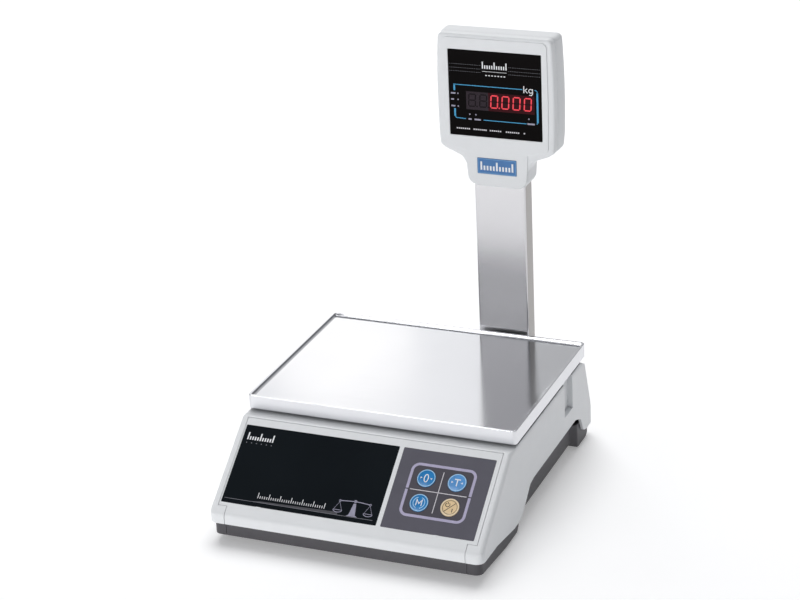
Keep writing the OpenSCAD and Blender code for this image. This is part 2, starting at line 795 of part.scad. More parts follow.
module foot_pad_front_left() foot_pad(0);
module foot_screw_front_left() foot_screw(0);
module foot_pad_front_right() foot_pad(1);
module foot_screw_front_right() foot_screw(1);
module foot_pad_rear_left() foot_pad(2);
module foot_screw_rear_left() foot_screw(2);
module foot_pad_rear_right() foot_pad(3);
module foot_screw_rear_right() foot_screw(3);

// ---------------------------------------------------------------- pole

module pole_section(inset) translate([pole_x, pole_y + pole_d / 2])
    polygon(round_rect(-pole_w / 2 + inset, -pole_d / 2 + inset, pole_w / 2 - inset, pole_d / 2 - inset,
        pole_corner - inset));

module pole() color(c_steel) difference() {
    translate([0, 0, pole_foot]) linear_extrude(pole_top - pole_foot) pole_section(0);
    translate([0, 0, pole_foot - 1]) linear_extrude(pole_top - pole_foot + 2) pole_section(pole_wall);
    for (x = [-20, 20], z = [26, 48]) translate([pole_x + x, pole_y + pole_d + 1, z])
        rotate([90, 0, 0]) cylinder(h = 4, r = 2.1);
    slab(pole_x - cable_slot, pole_y - 1, pole_foot - 1, pole_x + cable_slot, pole_y + 4,
        lead_z + cable_slot);
}

// Folded steel plate behind the pole's foot and under the base
module pole_bracket() color(c_steel) difference() {
    translate([pole_x, 0, 0]) {
        slab(-pole_w / 2 - 6, pole_y + pole_d, base_bottom - bracket_t, pole_w / 2 + 6,
            pole_y + pole_d + bracket_t, pole_foot + bracket_h);
        slab(-pole_w / 2 - 6, pole_y - 6, base_bottom - bracket_t, pole_w / 2 + 6, pole_y + pole_d + 1,
            base_bottom);
    }
    for (x = [-20, 20], z = [26, 48]) translate([pole_x + x, pole_y + pole_d + bracket_t + 1, z])
        rotate([90, 0, 0]) cylinder(h = 4, r = 2.1);
    for (x = bracket_screw_x) post(x, bracket_screw_y, 0, base_bottom + 1, 1.9);
}

module pole_screws() color(c_steel) {
    for (x = [-20, 20], z = [26, 48]) translate([pole_x + x, pole_y + pole_d + bracket_t, z])
        rotate([90, 0, 0]) {
            cylinder(h = 7, r = 2);
            translate([0, 0, -1.8]) cylinder(h = 1.8, r = 3.8);
        }
    for (x = bracket_screw_x)
        screw_up(x, bracket_screw_y, base_bottom - bracket_t - 1.8, 1.7, 6.8, 3.4, 1.8);
}

// Soft collar round the pole where it enters the cover
module pole_collar() color(c_rubber) difference() {
    slab(pole_x - pole_w / 2 - 0.9, pole_y - 0.9, 80, pole_x + pole_w / 2 + 0.9, pole_y + pole_d / 2, 84);
    translate([0, 0, 70]) linear_extrude(30) pole_section(0);
}

// Lead from the head's board, down the pole and over the base to the main board
module display_cable() color(c_black) lead([
    [pole_x, pole_y + pole_d / 2, head_socket_z], [pole_x, pole_y + pole_d / 2, lead_z],
    [pole_x, -118, lead_z], [-6, -118, lead_z]
], lead_r);

// ---------------------------------------------------------------- display head

// Front view of the head, about the pole's middle; the sides bow gently
function side_bow(z0, z1, x0, x1, bow, steps) = [
    for (i = [1:steps - 1])
        let (t = i / steps)
        [x0 + (x1 - x0) * t + bow * 4 * t * (1 - t), z0 + (z1 - z0) * t, 0]
];
head_right = concat(
    [[26, head_bottom - 2.5, 0], [32, head_bottom + 1, 3], [neck_half, head_bottom + 6, 4],
        [neck_half + 1, 320, 8], [41, 329.5, 12], [58, 336, 20], [66.3, 341.5, 5]],
    side_bow(341.5, head_top, 66.3, 65.2, 1.9, 6),
    [[65.2, head_top, 6]]
);
head_left = [for (i = [len(head_right) - 1:-1:0]) [-head_right[i].x, head_right[i].y, head_right[i][2]]];

module head_outline(inset) translate([head_mid, 0])
    offset(delta = -inset) polygon(rounded(concat(head_right, head_left)));

// Outer form of the head: full in the middle of its depth, drawn in at the front and back
module head_form(inset) {
    head_y1 = head_y + head_d - inset;
    along_y(head_y + 1.5 + inset, head_y1 - 3) head_outline(inset);
    along_y(head_y + 0.5 + inset, head_y1 - 1) head_outline(inset + 0.8);
    along_y(head_y + inset, head_y1) head_outline(inset + 2);
}

module head_cavity() {
    along_y(head_y + head_wall, head_y + head_d - head_wall) head_outline(head_wall);
}

module pole_socket() translate([0, 0, 280]) linear_extrude(125) pole_section(-0.2);

// The four screws that join the shells, and the four posts that carry the board
module at_head_screws() for (x = head_screw_x, z = head_screw_z) translate([head_mid + x, z]) children();
module at_head_posts() for (x = head_post_x, z = head_post_z) translate([head_mid + x, z]) children();

module head_front_shell() color(c_cover) difference() {
    union() {
        difference() {
            intersection() {
                head_form(0);
                slab(-200, head_y - 1, 250, 250, head_y + parting - seam / 2, 500);
            }
            head_cavity();
        }
        along_y(head_y + 1, head_boss_y) at_head_screws() circle(4);
    }
    along_y(head_y + 6, head_boss_y + 1) at_head_screws() circle(1.65);
    // Window recess and the opening behind it
    along_y(head_y - 1, head_y + window_t - 0.3) window_outline(0.1);
    along_y(head_y - 1, head_y + 8) window_outline(-4);
    // Badge recess
    along_y(head_y - 1, head_y + 0.6) badge_outline(0.1);
    pole_socket();
}

module head_rear_shell() color(c_cover) difference() {
    union() {
        difference() {
            intersection() {
                head_form(0);
                slab(-200, head_y + parting, 250, 250, head_y + head_d + 1, 500);
            }
            head_cavity();
        }
        along_y(head_board_y + head_board_t, head_y + head_d - 1) at_head_posts() circle(3);
    }
    pole_socket();
    along_y(head_board_y, head_board_y + 9) at_head_posts() circle(1.2);
    along_y(head_boss_y, head_y + head_d + 1) at_head_screws() circle(1.8);
    along_y(head_y + head_d - head_recess, head_y + head_d + 1) at_head_screws() circle(3.3);
}

module window_outline(grow)
    polygon(round_rect(head_mid - window_w / 2 - grow, window_z - window_h / 2 - grow,
        head_mid + window_w / 2 + grow, window_z + window_h / 2 + grow, 0.8));

module badge_outline(grow)
    polygon(round_rect(head_mid - 22.6 - grow, 312 - grow, head_mid + 22.6 + grow, 330 + grow, 0.6));

module head_window() color(c_black) along_y(head_y + 0.3, head_y + window_t - 0.3) window_outline(0);

module head_badge() color(c_blue) along_y(head_y - 0.2, head_y + 0.6) badge_outline(0);

// Board of the head, with the socket of the display cable on its back
module head_board() color(c_board) {
    difference() {
        slab(head_mid - 50, head_board_y, 358, head_mid + 50, head_board_y + head_board_t, 448);
        along_y(head_board_y - 1, head_board_y + 3) at_head_posts() circle(1.5);
    }
    slab(head_mid - 6, head_board_y + head_board_t, head_socket_z, head_mid + 6,
        head_board_y + head_board_t + 6, head_socket_z + 12);
}

// Six-digit light-emitting display block on the head's board
module head_digits() color(c_black)
    slab(head_mid - 34, head_y + 4, 384, head_mid + 43.5, head_board_y, 405.4);

module head_screws() color(c_steel) {
    head_back = head_y + head_d - head_recess;
    along_y(head_back - 13, head_back) at_head_screws() circle(1.6);
    along_y(head_back, head_back + 1.1) at_head_screws() circle(3);
    along_y(head_board_y - 1.6, head_board_y + 8) at_head_posts() circle(1.15);
    along_y(head_board_y - 1.6, head_board_y) at_head_posts() circle(2.6);
}

// ---------------------------------------------------------------- nodes

top_cover();
base_tray();
front_fascia();
front_trim();
display_plate();
keypad_overlay();
keypad_board();
key_switches();
key_zero();
key_tare();
key_mode();
key_power();
main_board();
board_chips();
board_screws();
dc_inlet();
power_lead();
keypad_lead();
chassis_plate();
cell_spacer();
load_cell();
cell_base_bolts();
cell_lead();
overload_stops();
carrier_spacer();
platter_carrier();
carrier_bolts();
carrier_pads();
platter();
level_housing();
level_vial();
level_bubble();
calibration_cover();
case_screws();
foot_inserts();
foot_pad_front_left();
foot_screw_front_left();
foot_pad_front_right();
foot_screw_front_right();
foot_pad_rear_left();
foot_screw_rear_left();
foot_pad_rear_right();
foot_screw_rear_right();
pole();
pole_bracket();
pole_screws();
pole_collar();
display_cable();
head_front_shell();
head_rear_shell();
head_window();
head_board();
head_digits();
head_screws();
head_badge();
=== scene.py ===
import json
import math

import bmesh
import bpy
from mathutils import Matrix, Vector


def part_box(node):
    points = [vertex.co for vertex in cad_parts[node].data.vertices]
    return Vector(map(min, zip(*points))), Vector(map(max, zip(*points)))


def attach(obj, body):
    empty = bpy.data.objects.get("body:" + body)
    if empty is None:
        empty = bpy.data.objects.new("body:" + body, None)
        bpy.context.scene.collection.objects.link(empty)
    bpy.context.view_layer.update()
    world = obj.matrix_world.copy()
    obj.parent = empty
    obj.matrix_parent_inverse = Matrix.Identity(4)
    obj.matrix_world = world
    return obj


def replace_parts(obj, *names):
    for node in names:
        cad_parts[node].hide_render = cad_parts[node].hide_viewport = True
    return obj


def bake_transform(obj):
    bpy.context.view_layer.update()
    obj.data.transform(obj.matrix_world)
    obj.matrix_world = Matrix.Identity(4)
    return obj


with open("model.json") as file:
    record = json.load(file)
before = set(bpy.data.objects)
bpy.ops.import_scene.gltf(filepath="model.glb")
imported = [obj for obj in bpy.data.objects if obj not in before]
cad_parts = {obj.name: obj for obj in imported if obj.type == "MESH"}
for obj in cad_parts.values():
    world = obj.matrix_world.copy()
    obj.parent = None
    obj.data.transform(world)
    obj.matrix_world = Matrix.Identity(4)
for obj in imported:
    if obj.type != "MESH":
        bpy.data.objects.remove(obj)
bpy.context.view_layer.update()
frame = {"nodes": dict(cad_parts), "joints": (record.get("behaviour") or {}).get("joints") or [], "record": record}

# Counter weighing scale with a customer display on a rear pole.
# Lengths are in millimetres until they become mesh points, which are in metres.
MM = 0.001


def corners(node):
    """Lowest and highest corner of a CAD node, in millimetres."""
    low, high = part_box(node)
    return low / MM, high / MM


# ---------------------------------------------------------------- places from the frame

# The sloping panel: u runs to the right, v down the slope from its top edge, n out of it
PLATE_THICKNESS = 0.95
FIELD_TOP = 10.4
key_press = next(j for j in frame["joints"] if j["name"] == "key_zero_press")
OUT = -Vector(key_press["axis"]).normalized()
DOWN = Vector((1, 0, 0)).cross(OUT)
plate_low, plate_high = corners("display_plate")
PANEL_ORIGIN = Vector((0, plate_high.y + PLATE_THICKNESS * OUT.y, plate_high.z)) - DOWN * FIELD_TOP
FIELD_BOTTOM = FIELD_TOP + (plate_high.z - plate_low.z - PLATE_THICKNESS * OUT.z) / -DOWN.z


def on_panel(u, v, n):
    return PANEL_ORIGIN + Vector((u, 0, 0)) + DOWN * v + OUT * n


def panel_place(point):
    """(u, v) on the panel of a point of the frame."""
    offset = point - PANEL_ORIGIN
    return offset.x, offset.dot(DOWN)


# The head: u runs to the right of its middle, w up from the counter, n towards the operator
head_low, head_high = corners("head_front_shell")
rear_low, rear_high = corners("head_rear_shell")
window_low, window_high = corners("head_window")
badge_low, badge_high = corners("head_badge")
HEAD_MID = (window_low.x + window_high.x) / 2


def on_window(u, w, n):
    return Vector((HEAD_MID + u, window_low.y - n, w))


def on_badge(u, w, n):
    return Vector((HEAD_MID + u, badge_low.y - n, w))


# ---------------------------------------------------------------- materials

def add_node(tree, kind, **values):
    node = tree.nodes.new(kind)
    for name, value in values.items():
        node.inputs[name.replace("_", " ")].default_value = value
    return node


def finish_material(
    name, colour, roughness, metallic=0.0, mottle=45.0, spread=0.04, grain=1800.0, bump=0.05,
    depth=0.00004, rough_spread=0.06, stretch=(1, 1, 1), smudge=0.0, **sockets
):
    """A surface whose colour drifts a little, with a fine grain in its roughness and relief."""
    material = bpy.data.materials.new(name)
    material.use_nodes = True
    tree = material.node_tree
    shader = tree.nodes["Principled BSDF"]
    shader.inputs["Metallic"].default_value = metallic
    for socket, value in sockets.items():
        shader.inputs[socket.replace("_", " ")].default_value = value
    coords = tree.nodes.new("ShaderNodeTexCoord")
    mapping = add_node(tree, "ShaderNodeMapping", Scale=stretch)
    tree.links.new(coords.outputs["Object"], mapping.inputs["Vector"])
    broad = add_node(tree, "ShaderNodeTexNoise", Scale=mottle, Detail=4.0, Roughness=0.55)
    tree.links.new(coords.outputs["Object"], broad.inputs["Vector"])
    fine = add_node(tree, "ShaderNodeTexNoise", Scale=grain, Detail=3.0, Roughness=0.6)
    tree.links.new(mapping.outputs["Vector"], fine.inputs["Vector"])

    ramp = tree.nodes.new("ShaderNodeValToRGB")
    ramp.color_ramp.elements[0].position = 0.3
    ramp.color_ramp.elements[1].position = 0.7
    ramp.color_ramp.elements[0].color = (*[c * (1 - spread) for c in colour], 1)
    ramp.color_ramp.elements[1].color = (*[min(1, c * (1 + spread)) for c in colour], 1)
    tree.links.new(broad.outputs["Fac"], ramp.inputs["Fac"])
    tree.links.new(ramp.outputs["Color"], shader.inputs["Base Color"])

    gloss = add_node(
        tree, "ShaderNodeMapRange", To_Min=roughness - rough_spread, To_Max=roughness + rough_spread
    )
    tree.links.new(fine.outputs["Fac"], gloss.inputs["Value"])
    rough = gloss.outputs["Result"]
    if smudge:
        marks = add_node(tree, "ShaderNodeTexNoise", Scale=mottle / 4, Detail=6.0, Distortion=1.5)
        tree.links.new(coords.outputs["Object"], marks.inputs["Vector"])
        wiped = add_node(tree, "ShaderNodeMapRange", From_Min=0.45, From_Max=0.7, To_Max=smudge)
        tree.links.new(marks.outputs["Fac"], wiped.inputs["Value"])
        total = tree.nodes.new("ShaderNodeMath")
        tree.links.new(rough, total.inputs[0])
        tree.links.new(wiped.outputs["Result"], total.inputs[1])
        rough = total.outputs["Value"]
    tree.links.new(rough, shader.inputs["Roughness"])

    relief = add_node(tree, "ShaderNodeBump", Strength=bump, Distance=depth)
    tree.links.new(fine.outputs["Fac"], relief.inputs["Height"])
    tree.links.new(relief.outputs["Normal"], shader.inputs["Normal"])
    return material


COVER = finish_material(
    "cover_plastic", (0.80, 0.815, 0.83), 0.42, spread=0.012, grain=1500, bump=0.25, depth=0.00008,
    smudge=0.05
)
BASE = finish_material(
    "base_plastic", (0.062, 0.059, 0.067), 0.5, spread=0.05, grain=1300, bump=0.35, depth=0.0001
)
BLACK_GLOSS = finish_material(
    "display_black", (0.006, 0.0085, 0.011), 0.2, spread=0.15, mottle=9, grain=600, bump=0.02,
    rough_spread=0.03, smudge=0.06, Specular_IOR_Level=0.12
)
WINDOW_BLACK = finish_material(
    "window_black", (0.0028, 0.002, 0.002), 0.2, spread=0.15, mottle=9, grain=600, bump=0.02,
    rough_spread=0.03, smudge=0.05, Specular_IOR_Level=0.04
)
KEYPAD_FILM = finish_material(
    "keypad_film", (0.108, 0.105, 0.130), 0.45, spread=0.05, grain=2400, bump=0.4, depth=0.00005,
    Specular_IOR_Level=0.25
)
KEYPAD_FIELD = finish_material(
    "keypad_field", (0.078, 0.073, 0.090), 0.45, spread=0.06, grain=2400, bump=0.4, depth=0.00005,
    Specular_IOR_Level=0.25
)
RING_INK = finish_material("ring_ink", (0.45, 0.42, 0.58), 0.4, spread=0.06, mottle=200)
LINE_INK = finish_material("line_ink", (0.72, 0.70, 0.74), 0.4, spread=0.05, mottle=200)
WHITE_INK = finish_material("white_ink", (0.85, 0.86, 0.88), 0.35, spread=0.04, mottle=300)
GREY_INK = finish_material("grey_ink", (0.22, 0.22, 0.25), 0.35, spread=0.12, mottle=300)
BAND_INK = finish_material("band_ink", (0.065, 0.065, 0.075), 0.35, spread=0.2, mottle=300)
LILAC_INK = finish_material("lilac_ink", (0.34, 0.33, 0.43), 0.35, spread=0.1, mottle=300)
CYAN_INK = finish_material("cyan_ink", (0.03, 0.34, 0.62), 0.3, spread=0.08, mottle=300)
BLUE_KEY = finish_material(
    "key_blue", (0.018, 0.21, 0.52), 0.32, spread=0.12, mottle=160, grain=2000, bump=0.1
)
PALE_BLUE_KEY = finish_material(
    "key_pale_blue", (0.10, 0.31, 0.66), 0.32, spread=0.1, mottle=160, grain=2000, bump=0.1
)
# Painted highlight: a lighter ring along the blue key rims stands for the light they catch; the mode key's printed
# arcs use this ink too
KEY_HIGHLIGHT_AND_PRINT_BLUE = finish_material("key_painted_highlight_and_print_blue", (0.40, 0.66, 0.90), 0.3, spread=0.05, mottle=300)
CREAM_KEY = finish_material(
    "key_cream", (0.80, 0.60, 0.35), 0.34, spread=0.06, mottle=160, grain=2000, bump=0.1
)
# Painted highlight: a lighter ring along the power key's rim
KEY_HIGHLIGHT_CREAM = finish_material("key_painted_highlight_cream", (0.90, 0.77, 0.56), 0.3, spread=0.04, mottle=300)
DARK_INK = finish_material("dark_ink", (0.045, 0.035, 0.03), 0.4, spread=0.15, mottle=300)
BADGE = finish_material("badge_blue", (0.045, 0.175, 0.43), 0.3, spread=0.08, mottle=120)
BADGE_RIM = finish_material("badge_rim", (0.13, 0.31, 0.56), 0.3, spread=0.06, mottle=200)
LIT_SEGMENT = finish_material(
    "lit_segment", (0.55, 0.02, 0.03), 0.4, spread=0.1, mottle=700,
    Emission_Color=(1.0, 0.03, 0.06, 1), Emission_Strength=0.5
)
DARK_SEGMENT = finish_material(
    "dark_segment", (0.009, 0.006, 0.008), 0.4, spread=0.2, mottle=500, Specular_IOR_Level=0.05
)
DIGIT_FIELD = finish_material(
    "digit_field", (0.035, 0.026, 0.033), 0.4, spread=0.35, mottle=900, Specular_IOR_Level=0.05
)
# The field behind the lit digits: dark red with a faint painted red glow standing in for the lit digits' spilled
# light
DIGIT_FIELD_PAINTED_GLOW = finish_material(
    "painted_glow_digit_field", (0.030, 0.005, 0.008), 0.4, spread=0.35, mottle=900, Specular_IOR_Level=0.05,
    Emission_Color=(1.0, 0.05, 0.08, 1), Emission_Strength=0.012
)
BRUSHED = dict(metallic=1.0, mottle=6, spread=0.02, bump=0.05, depth=0.00002, rough_spread=0.04)
PLATTER_STEEL = finish_material(
    "platter_steel", (0.76, 0.765, 0.79), 0.12, grain=260, stretch=(0.05, 4.0, 1.0), smudge=0.05,
    **BRUSHED
)
SKIRT_STEEL = finish_material(
    "platter_skirt_steel", (0.76, 0.765, 0.79), 0.36, grain=260, stretch=(0.05, 0.05, 4.0),
    smudge=0.05, **BRUSHED
)
POLE_STEEL = finish_material(
    "pole_steel", (0.66, 0.655, 0.67), 0.24, grain=420, stretch=(4.0, 4.0, 0.03), **BRUSHED
)
# The pole's left and right faces: the same steel, rougher, with shade painted into its darker, browner colour
POLE_SIDE_PAINTED_SHADE = finish_material(
    "pole_side_steel_painted_shade", (0.40, 0.385, 0.375), 0.42, grain=300, stretch=(4.0, 4.0, 0.05), **BRUSHED
)
ZINC = finish_material(
    "zinc_steel", (0.60, 0.61, 0.63), 0.32, metallic=1.0, mottle=90, spread=0.08, grain=900, bump=0.1
)
ALUMINIUM = finish_material(
    "cast_aluminium", (0.62, 0.63, 0.64), 0.42, metallic=1.0, mottle=70, spread=0.06, grain=700,
    bump=0.25, depth=0.0001
)
BRASS = finish_material(
    "brass", (0.66, 0.47, 0.20), 0.3, metallic=1.0, mottle=90, spread=0.08, grain=900, bump=0.1
)
RUBBER = finish_material(
    "rubber", (0.022, 0.022, 0.023), 0.75, spread=0.15, grain=1400, bump=0.4, depth=0.0001
)
BOARD = finish_material(
    "circuit_board", (0.015, 0.13, 0.055), 0.35, mottle=220, spread=0.3, grain=1600, bump=0.2
)
BLACK_PLASTIC = finish_material(
    "black_plastic", (0.016, 0.016, 0.018), 0.45, spread=0.2, grain=1500, bump=0.3
)
SHEATH = finish_material("insulation", (0.02, 0.02, 0.021), 0.5, spread=0.15, grain=900, bump=0.15)
LEVEL_GLASS = finish_material(
    "level_glass", (0.62, 0.85, 0.25), 0.08, spread=0.06, mottle=120, bump=0.01, rough_spread=0.02,
    Transmission_Weight=0.7, IOR=1.4
)

SLOT_MATERIALS = {
    "cover_plastic": COVER,
    "base_plastic": BASE,
    "display_black": BLACK_GLOSS,
    "keypad_film": KEYPAD_FILM,
    "key_blue": BLUE_KEY,
    "key_cream": CREAM_KEY,
    "circuit_board": BOARD,
    "black_plastic": BLACK_PLASTIC,
    "insulation": SHEATH,
    "zinc_steel": ZINC,
    "cast_aluminium": ALUMINIUM,
    "stainless": POLE_STEEL,
    "rubber": RUBBER,
    "brass": BRASS,
    "level_glass": LEVEL_GLASS,
    "badge_blue": BADGE,
}
NODE_SLOTS = {s["node"]: s["material_slot"] for s in frame["record"]["subparts"]}
NODE_BODIES = {
    node: body for body, nodes in frame["record"]["behaviour"]["bodies"].items() for node in nodes
}

for node, cad_object in frame["nodes"].items():
    cad_object.data.materials.clear()
    cad_object.data.materials.append(SLOT_MATERIALS[NODE_SLOTS[node]])


# ---------------------------------------------------------------- mesh helpers

# Edges that turn by more than this stay sharp, and skin() eases them
SHARP = math.radians(32)
WELD = 0.002
FLAT = math.radians(0.4)
# Faces smaller than this many square millimetres are too small to have their edges eased
SMALL_FACE = 4


def mesh_object(name, bm):
    """Turns a bmesh in millimetres into a mesh in metres, placed in the scene."""
    mesh = bpy.data.meshes.new(name)
    bm.to_mesh(mesh)
    bm.free()
    mesh.transform(Matrix.Scale(MM, 4))
    made = bpy.data.objects.new(name, mesh)
    bpy.context.scene.collection.objects.link(made)
    return made


def add_piece(name, bm, material, body, weighted=True):
    """A piece of the object, shaded smooth up to sharp edges; a piece that bends is left without a body."""
    bmesh.ops.recalc_face_normals(bm, faces=bm.faces)
    for face in bm.faces:
        face.smooth = True
    for edge in bm.edges:
        edge.smooth = len(edge.link_faces) == 2 and edge.calc_face_angle(0) < SHARP
    piece = mesh_object(name, bm)
    piece.data.materials.append(material)
    if weighted:
        normals = piece.modifiers.new("flat faces stay flat", "WEIGHTED_NORMAL")
        normals.keep_sharp = True
    if body:
        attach(piece, body)
    return piece


def skin(node, material=None, ease=0.0, bends=None):
    """Stands for a CAD node: its faces made whole, its sharp outer edges eased by that many millimetres.

    Given bends, the piece is baked in place and left without a body; the bodies and points in bends are not used."""
    bm = bmesh.new()
    bm.from_mesh(frame["nodes"][node].data)
    bmesh.ops.scale(bm, vec=(1 / MM,) * 3, verts=bm.verts)
    bmesh.ops.remove_doubles(bm, verts=bm.verts, dist=WELD)
    bmesh.ops.dissolve_limit(bm, angle_limit=FLAT, verts=bm.verts, edges=bm.edges)
    if ease:
        sharp = [
            e for e in bm.edges
            if len(e.link_faces) == 2 and e.calc_face_angle(0) > SHARP and e.is_convex
            and min(f.calc_area() for f in e.link_faces) > SMALL_FACE
        ]
        bmesh.ops.bevel(
            bm, geom=sharp, offset=ease, offset_type="OFFSET", segments=2, profile=0.5,
            affect="EDGES", clamp_overlap=False
        )
    material = material or SLOT_MATERIALS[NODE_SLOTS[node]]
    body = None if bends else NODE_BODIES[node]
    piece = add_piece(node + "_skin", bm, material, body)
    if bends:
        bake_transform(piece)
    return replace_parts(piece, node)


def arc(cu, cw, r, start, end, steps):
    """Points along an arc; the angles are in degrees."""
    return [
        (cu + r * math.cos(math.radians(a)), cw + r * math.sin(math.radians(a)))
        for a in (start + (end - start) * i / steps for i in range(steps + 1))
    ]


def turn_steps(start, end, step):
    """(sine, cosine) at each step of degrees, both ends included."""
    return [(math.sin(math.radians(a)), math.cos(math.radians(a))) for a in range(start, end + 1, step)]


def circle(cu, cw, r, steps=48):
    return arc(cu, cw, r, 0, 360 - 360 / steps, steps - 1)


def round_rect(u0, w0, u1, w1, r, steps=6):
    return (
        arc(u1 - r, w1 - r, r, 0, 90, steps) + arc(u0 + r, w1 - r, r, 90, 180, steps)
        + arc(u0 + r, w0 + r, r, 180, 270, steps) + arc(u1 - r, w0 + r, r, 270, 360, steps)
    )


def rounded(outline, steps=6):
    """Outline whose corners are (u, w, radius), with its corners turned into arcs."""
    points = []
    for i, (u, w, r) in enumerate(outline):
        if r == 0:
            points.append((u, w))
            continue
        here = Vector((u, w))
        to_last = (Vector(outline[i - 1][:2]) - here).normalized()
        to_next = (Vector(outline[(i + 1) % len(outline)][:2]) - here).normalized()
        half = to_last.angle(to_next) / 2
        centre = here + (to_last + to_next).normalized() * r / math.sin(half)
        first = here + to_last * r / math.tan(half) - centre
        last = here + to_next * r / math.tan(half) - centre
        sweep = first.angle_signed(last)
        for step in range(steps + 1):
            turned = first.copy()
            turned.rotate(Matrix.Rotation(-sweep * step / steps, 2))
            points.append(tuple(centre + turned))
    return points


def offset_ring(points, inset):
    """A closed outline moved inwards; the outline runs anticlockwise."""
    moved = []
    for i, point in enumerate(points):
        a, b, c = Vector(points[i - 1]), Vector(point), Vector(points[(i + 1) % len(points)])
        n0 = Vector((-(b - a).y, (b - a).x)).normalized()
        n1 = Vector((-(c - b).y, (c - b).x)).normalized()
        mid = (n0 + n1).normalized()
        moved.append(tuple(b + mid * inset / max(0.3, mid.dot(n0))))
    return moved


def prism(bm, place, outline, n0, n1):
    """A flat shape from height n0 to n1 on the surface that place() maps."""
    low = [bm.verts.new(place(u, w, n0)) for u, w in outline]
    high = [bm.verts.new(place(u, w, n1)) for u, w in outline]
    bm.faces.new(high)
    bm.faces.new(low[::-1])
    for i in range(len(outline)):
        bm.faces.new((low[i - 1], low[i], high[i], high[i - 1]))


def stroke(bm, place, path, width, n0, n1, closed=False):
    """A flat line of that width along a path."""
    points = [Vector(p) for p in path]
    sides = []
    for i, here in enumerate(points):
        before = points[i - 1] if closed or i else here
        after = points[(i + 1) % len(points)] if closed or i < len(points) - 1 else here
        along = [v.normalized() for v in (here - before, after - here) if v.length > 0]
        across = [Vector((-v.y, v.x)) for v in along]
        mid = (across[0] + across[-1]).normalized()
        reach = width / 2 / max(0.35, mid.dot(across[0]))
        sides.append((here + mid * reach, here - mid * reach))
    rows = [
        [bm.verts.new(place(*p, n)) for p, n in ((a, n0), (a, n1), (b, n1), (b, n0))]
        for a, b in sides
    ]
    for i in range(0 if closed else 1, len(rows)):
        for k in range(4):
            bm.faces.new((rows[i - 1][k - 1], rows[i - 1][k], rows[i][k], rows[i][k - 1]))
    if not closed:
        bm.faces.new(rows[0])
        bm.faces.new(rows[-1][::-1])


def loft(bm, rings, cap_first=True, cap_last=True):
    """A skin through rings of equal length."""
    rows = [[bm.verts.new(p) for p in ring] for ring in rings]
    for a, b in zip(rows, rows[1:]):
        for i in range(len(a)):
            bm.faces.new((a[i - 1], a[i], b[i], b[i - 1]))
    if cap_first:
        bm.faces.new(rows[0])
    if cap_last:
        bm.faces.new(rows[-1][::-1])
    return rows


def turned(bm, place, profile, steps=64):
    """A turned shape about the n axis; its profile is (radius, n), and both ends are at radius 0."""
    rings = [[place(u, w, n) for u, w in circle(0, 0, r, steps)] for r, n in profile[1:-1]]
    rows = loft(bm, rings, cap_first=False, cap_last=False)
    for row, (_, n) in ((rows[0], profile[0]), (rows[-1], profile[-1])):
        tip = bm.verts.new(place(0, 0, n))
        for i in range(steps):
            bm.faces.new((row[i - 1], row[i], tip))


def from_curve(outlines, place, thickness, ease):
    """A bmesh of a flat plate with holes: the first outline is its rim, the others are holes."""
    curve = bpy.data.curves.new("outline", "CURVE")
    curve.dimensions = "2D"
    curve.fill_mode = "BOTH"
    curve.extrude = thickness / 2 - ease
    curve.bevel_depth = ease
    curve.bevel_resolution = 2
    curve.offset = -ease
    for outline in outlines:
        spline = curve.splines.new("POLY")
        spline.points.add(len(outline) - 1)
        for point, (u, w) in zip(spline.points, outline):
            point.co = (u, w, 0, 1)
        spline.use_cyclic_u = True
    holder = bpy.data.objects.new("outline", curve)
    bpy.context.scene.collection.objects.link(holder)
    mesh = bpy.data.meshes.new_from_object(holder.evaluated_get(bpy.context.evaluated_depsgraph_get()))
    bpy.data.objects.remove(holder)
    bm = bmesh.new()
    bm.from_mesh(mesh)
    bmesh.ops.remove_doubles(bm, verts=bm.verts, dist=0.001)
    for vert in bm.verts:
        vert.co = place(vert.co.x, vert.co.y, vert.co.z)
    bpy.data.meshes.remove(mesh)
    return bm


def join(target, other):
    """Adds another bmesh's shape to the target."""
    mesh = bpy.data.meshes.new("joined")
    other.to_mesh(mesh)
    other.free()
    target.from_mesh(mesh)
    bpy.data.meshes.remove(mesh)


# ---------------------------------------------------------------- body

def make_body():
    skin("top_cover", ease=0.15)
    for node in ("front_fascia", "level_housing"):
        skin(node, ease=0.3)
    for node in ("base_tray", "front_trim", "calibration_cover", "dc_inlet"):
        skin(node, ease=0.4)
    skin("display_plate", ease=0.12)
    skin("keypad_overlay", ease=0.1)
    pole = skin("pole")
    # Faces turned to the left or right get the darker steel: painted shade on the pole's sides
    pole.data.materials.append(POLE_SIDE_PAINTED_SHADE)
    for face in pole.data.polygons:
        face.material_index = int(abs(face.normal.x) > 0.8)
    skin("pole_bracket", ease=0.3)
    skin("head_window", WINDOW_BLACK, ease=0.12)


def make_load_cell():
    """The load cell, baked in place without a body; its bolted end and its free end are found, but nothing makes
    it bend.
    """
    low = corners("load_cell")[0]
    bolted_to = Vector((corners("cell_spacer")[1].x, low.y, low.z))
    free_from = Vector((corners("carrier_spacer")[0].x, low.y, low.z))
    skin("load_cell", bends=("root", "platform", bolted_to * MM, free_from * MM))


# ---------------------------------------------------------------- platter

